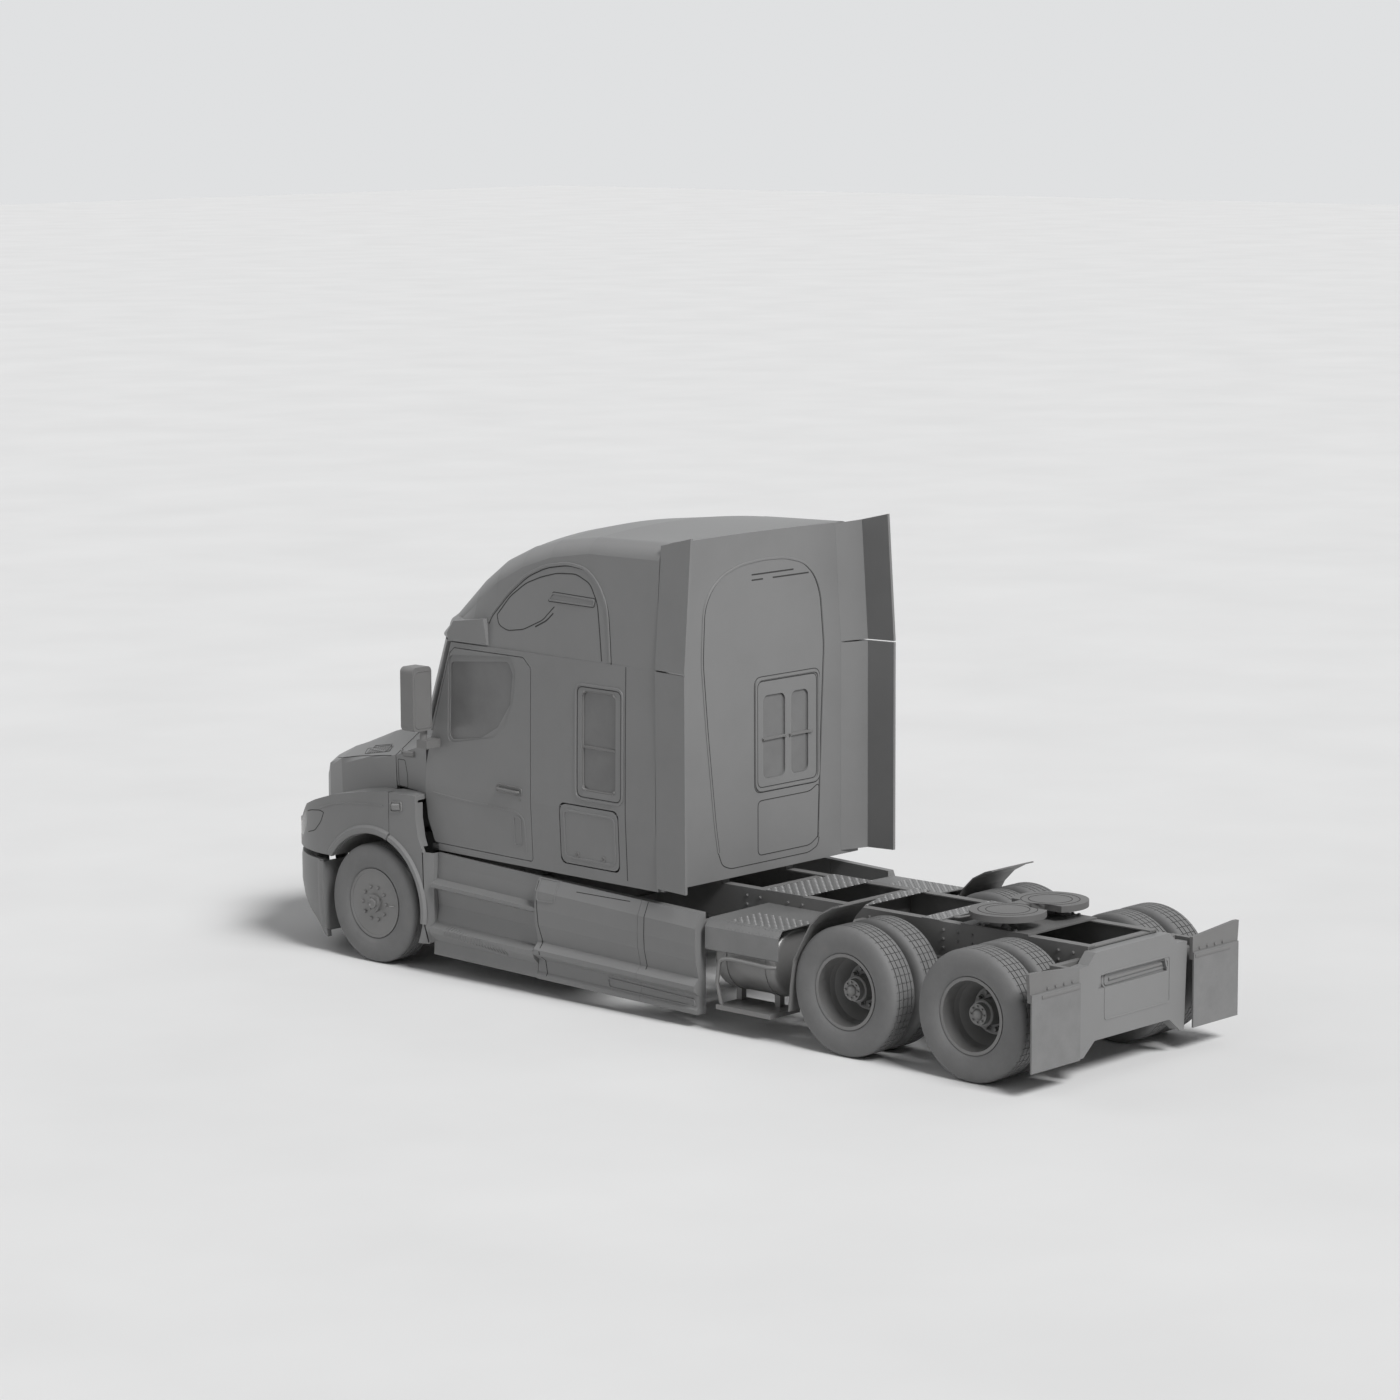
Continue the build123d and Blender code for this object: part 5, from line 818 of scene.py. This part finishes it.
def fender_trim():
    """Lips round the arches, liners under the hood, the bumper's end walls and the fenders' rear returns."""
    lip = [(0.0, 1.216), (0.0, 1.256), (0.25, 1.266), (0.7, 1.262), (1.0, 1.241), (1.0, 1.236)]
    for side, sign in SIDES:
        draft = Draft()
        arch_band(draft, sign, lip, (-55.0, 19.0, 0.606, 0.070))
        draft.finish(f"arch_lip_{side}", "hood", "body_paint")
        draft = Draft()
        arch_band(draft, sign, lip, (20.5, 98.0, 0.606, 0.060))
        draft.finish(f"arch_rear_lip_{side}", "chassis", "body_paint")
        draft = Draft()
        sheet = [(0.0, 0.700), (0.0, 1.214), (1.0, 1.214), (1.0, 0.700)]
        arch_band(draft, sign, sheet, (-54.0, 18.0, 0.600, 0.006))
        draft.finish(f"arch_liner_{side}", "hood", "chassis_paint")
        draft = Draft()
        rings = []
        for height, outer in ((0.190, 1.150), (0.215, 1.198), (0.319, 1.222), (0.414, 1.231), (0.560, 1.236),
                              (0.768, 1.236), (0.800, 1.232)):
            section = ((outer + 0.022, -0.604), (outer + 0.022, -0.640), (outer, -0.690),
                       (outer - 0.006, -0.622), (0.820, -0.622), (0.820, -0.610), (outer, -0.600))
            rings.append([draft.mesh.verts.new((sign * x, at(station), height)) for x, station in section])
        draft.ring_faces(rings, False)
        draft.finish(f"bumper_end_{side}", "chassis", "body_paint")
        draft = Draft()
        rings = []
        for height, rear in ((1.075, 0.598), (1.150, 0.570), (1.310, 0.542), (1.440, 0.542)):
            section = ((1.238, rear - 0.012), (1.240, rear - 0.004), (1.234, rear + 0.004),
                       (1.156, rear + 0.006), (1.156, rear - 0.002))
            rings.append([draft.mesh.verts.new((sign * x, at(station), height)) for x, station in section])
        draft.ring_faces(rings, False)
        rings = []
        for height, rear in ((0.270, 0.690), (0.414, 0.643), (0.700, 0.638), (1.000, 0.630), (1.030, 0.628)):
            section = ((1.212, rear - 0.020), (1.240, rear - 0.010), (1.240, rear + 0.004), (1.200, 0.719),
                       (1.140, 0.719), (1.140, 0.711), (1.192, 0.711))
            rings.append([draft.mesh.verts.new((sign * x, at(station), height)) for x, station in section])
        draft.ring_faces(rings, False)
        draft.finish(f"fender_return_{side}", "chassis", "body_paint")


fender_trim()
cab_trim()
wall_trim()
luggage_trim()
door_trim()
hood_trim()
skirt_trim()
mirror_trim()

# Behind the cab

COUPLING_STATION = 6.100
COUPLING_BOLT_X = 0.395
COUPLING_BOLT_STATIONS = (5.920, 5.980, 6.220, 6.280)
RING_RADII = (0.170, 0.230)
RING_X = 0.265
RING_POINTS = 40
HANDLE_LEVEL = 1.108
RAIL_BOLT_STATIONS = (3.560, 3.700, 4.000, 4.150, 4.700, 4.850, 5.600, 5.740, 5.880, 6.720, 6.860)
RAIL_BOLT_HEIGHTS = (0.795, 0.865, 0.935)
TANK_X = 1.000
TANK_RAIL = ((1.185, 3.965, 0.225), (1.205, 3.935, 0.400), (1.205, 3.965, 0.590), (1.205, 4.060, 0.612),
             (1.205, 4.480, 0.600), (1.165, 4.520, 0.598))
COVER_HALF = 0.220
FLAP_BOLTS = 5
FLAP_BOLT_X = 0.700
FLAP_BOLT_PITCH = 0.100
FLAP_BOLT_LEVEL = 0.815


def studs(draft, skin, region, pitch, size, height):
    """Small raised lozenges over an upward face, two directions in turn."""
    (low_x, high_x), (low_station, high_station) = region
    columns = int((high_x - low_x) / pitch)
    rows = int((high_station - low_station) / pitch)
    for column in range(columns + 1):
        for row in range(rows + 1):
            x = low_x + column * pitch
            station = low_station + row * pitch
            found = skin.find("top", x, at(station))
            if found is None or found[1].z < LEVEL_SHARE:
                continue
            place, normal = found
            turn = math.radians(45 if (column + row) % 2 else -45)
            along = Vector((math.cos(turn), math.sin(turn), 0))
            along = (along - normal * along.dot(normal)).normalized()
            side = normal.cross(along)
            reach, across, sink = along * size, side * size * 0.4, normal * 0.001
            foot = [place + reach - sink, place + across - sink, place - reach - sink, place - across - sink]
            reach, across, lift = along * size * 0.55, side * size * 0.16, normal * height
            head = [place + reach + lift, place + across + lift, place - reach + lift, place - across + lift]
            draft.ring_faces([[draft.mesh.verts.new(point) for point in foot],
                              [draft.mesh.verts.new(point) for point in head]], False)


def deck_trim():
    """Tread lozenges on the deck plates and tank covers, and each tank's hand rail."""
    skin = Skin("deck_plates")
    draft = Draft()
    studs(draft, skin, ((-0.400, 0.400), (3.600, 6.000)), 0.040, 0.016, 0.004)
    for sign in (1, -1):
        middle = sign * TANK_X
        studs(draft, skin, ((middle - COVER_HALF, middle + COVER_HALF), (4.000, 4.600)), 0.036, 0.014, 0.0035)
    draft.finish("deck_tread", "chassis", "tread_plate")
    for side, sign in SIDES:
        rail = Draft()
        rail.tube([(sign * x, at(station), height) for x, station, height in TANK_RAIL], 0.016, 0.04)
        rail.finish(f"tank_rail_{side}", "chassis", "tank_alloy")


def fifth_wheel_trim():
    """Ring lines of painted shade on the top plate, the release handle and the foot bolts."""
    skin = Skin("fifth_wheel_plate")
    # Near-black rings of painted shade where the top plate's grooves are
    draft = Draft()
    for radius in RING_RADII:
        for sign in (1, -1):
            turns = [2 * math.pi * part / RING_POINTS for part in range(RING_POINTS)]
            points = [(sign * RING_X + radius * math.cos(turn),
                       at(COUPLING_STATION) + radius * math.sin(turn)) for turn in turns]
            draft.line(skin, "top", points, 0.008, SEAM_RISE, step=0.05)
    draft.finish("fifth_wheel_groove_shade", "fifth_wheel", "painted_seam_shade")
    draft = Draft()
    handle = ((0.500, 5.945), (0.640, 5.915), (0.650, 5.875), (0.610, 5.865), (0.600, 5.905))
    draft.tube([(x, at(station), HANDLE_LEVEL) for x, station in handle], 0.009, 0.018)
    draft.finish("fifth_wheel_handle", "fifth_wheel", "chassis_iron")
    draft = Draft()
    base = Skin("fifth_wheel_base", "frame_rails")
    places = []
    for sign in (1, -1):
        for station in COUPLING_BOLT_STATIONS:
            found = base.find("top", sign * COUPLING_BOLT_X, at(station))
            if found and found[1].z > FLAT_SHARE:
                places.append(found[0])
    draft.hexes(places, (0, 0, 1), 0.014, 0.016)
    draft.finish("fifth_wheel_bolts", "chassis", "chassis_iron")


def rail_bolts():
    """Rows of bolt heads on the rails' webs, at the crossmembers and brackets."""
    skin = Skin("frame_rails")
    for side, sign in SIDES:
        draft = Draft()
        places = []
        for station in RAIL_BOLT_STATIONS:
            for height in RAIL_BOLT_HEIGHTS:
                found = skin.find(side, at(station), height)
                if found and abs(found[1].x) > SQUARE_SHARE:
                    places.append(found[0])
        draft.hexes(places, (sign, 0, 0), 0.011, 0.012)
        draft.finish(f"rail_bolts_{side}", "chassis", "chassis_paint")


def tail_trim():
    """The tail's two frames and its bar, and the flaps' clamp bars with bolts."""
    skin = Skin("tail_fairing")
    draft = Draft()
    draft.line(skin, "rear", [(0.320, 0.700), (0.320, 0.775), (-0.440, 0.775), (-0.440, 0.712)], 0.014,
               0.006, 0.02)
    draft.line(skin, "rear", [(0.350, 0.440), (0.350, 0.800), (-0.465, 0.800), (-0.465, 0.440)], 0.012,
               0.004, 0.03)
    draft.finish("tail_frames", "chassis", "body_paint")
    bar = Draft()
    bar.line(skin, "rear", [(0.270, 0.735), (0.0, 0.738), (-0.400, 0.742)], 0.026, 0.010, closed=False,
             bevel=0.6)
    bar.finish("tail_bar", "chassis", "trim")
    flaps = Skin("mudflaps", "mudflap_hangers")
    for side, sign in SIDES:
        draft = Draft()
        places = []
        for part in range(FLAP_BOLTS):
            found = flaps.find("rear", sign * (FLAP_BOLT_X + part * FLAP_BOLT_PITCH), FLAP_BOLT_LEVEL)
            if found and found[1].y > FLAT_SHARE:
                places.append(found[0])
        draft.hexes(places, (0, 1, 0), 0.010, 0.010)
        draft.line(flaps, "rear", [(sign * 0.640, 0.760), (sign * 1.180, 0.760)], 0.030, 0.005,
                   closed=False)
        draft.finish(f"flap_clamps_{side}", "chassis", "chassis_paint")


deck_trim()
fifth_wheel_trim()
rail_bolts()
tail_trim()


# Studio: floor, light and background


def studio():
    """A plain pale floor and soft lamps; the background is pale for the camera and for reflections."""
    floor_mesh = bpy.data.meshes.new("floor")
    side = 160.0
    corners = [(-side, -side, 0), (side, -side, 0), (side, side, 0), (-side, side, 0)]
    floor_mesh.from_pydata(corners, [], [(0, 1, 2, 3)])
    floor = bpy.data.objects.new("floor", floor_mesh)
    bpy.context.collection.objects.link(floor)
    floor_nodes = Nodes("floor_finish")
    clouds = floor_nodes.noise(0.4, 3.0, 0.5)
    base = floor_nodes.ramp(clouds, [(0.3, (0.76, 0.76, 0.76)), (0.7, (0.8, 0.8, 0.8))])
    floor_nodes.link(base, floor_nodes.shader.inputs["Base Color"])
    floor_nodes.shader.inputs["Roughness"].default_value = 0.9
    floor_mesh.materials.append(floor_nodes.material)

    # Wide soft suns as (name, toward, spread in degrees, power), so the floor is lit evenly to the horizon;
    # the key stands behind the truck
    suns = (("key", (0.10, 0.68, 0.72), 20.0, 2.9), ("fill", (0.85, -0.30, 0.42), 40.0, 0.14),
            ("far_side", (-0.70, 0.10, 0.60), 40.0, 0.18), ("front", (0.10, -0.80, 0.50), 50.0, 0.45))
    for name, toward, spread, power in suns:
        data = bpy.data.lights.new(name, "SUN")
        data.angle = math.radians(spread)
        data.energy = power
        lamp = bpy.data.objects.new(name, data)
        bpy.context.collection.objects.link(lamp)
        lamp.rotation_mode = "QUATERNION"
        lamp.rotation_quaternion = (-Vector(toward)).to_track_quat("-Z", "Y")

    world = bpy.data.worlds.new("studio")
    bpy.context.scene.world = world
    world.use_nodes = True
    tree = world.node_tree
    background = tree.nodes["Background"]
    path = tree.nodes.new("ShaderNodeLightPath")
    seen = tree.nodes.new("ShaderNodeMath")
    seen.operation = "MAXIMUM"
    tree.links.new(path.outputs["Is Camera Ray"], seen.inputs[0])
    tree.links.new(path.outputs["Is Glossy Ray"], seen.inputs[1])
    seen_too = tree.nodes.new("ShaderNodeMath")
    seen_too.operation = "MAXIMUM"
    tree.links.new(seen.outputs[0], seen_too.inputs[0])
    tree.links.new(path.outputs["Is Transmission Ray"], seen_too.inputs[1])
    strength = tree.nodes.new("ShaderNodeMapRange")
    strength.inputs["To Min"].default_value = 0.16
    strength.inputs["To Max"].default_value = 0.80
    tree.links.new(seen_too.outputs[0], strength.inputs["Value"])
    background.inputs["Color"].default_value = (0.93, 0.94, 0.95, 1.0)
    tree.links.new(strength.outputs["Result"], background.inputs["Strength"])


studio()
bpy.context.scene.view_settings.view_transform = "Standard"
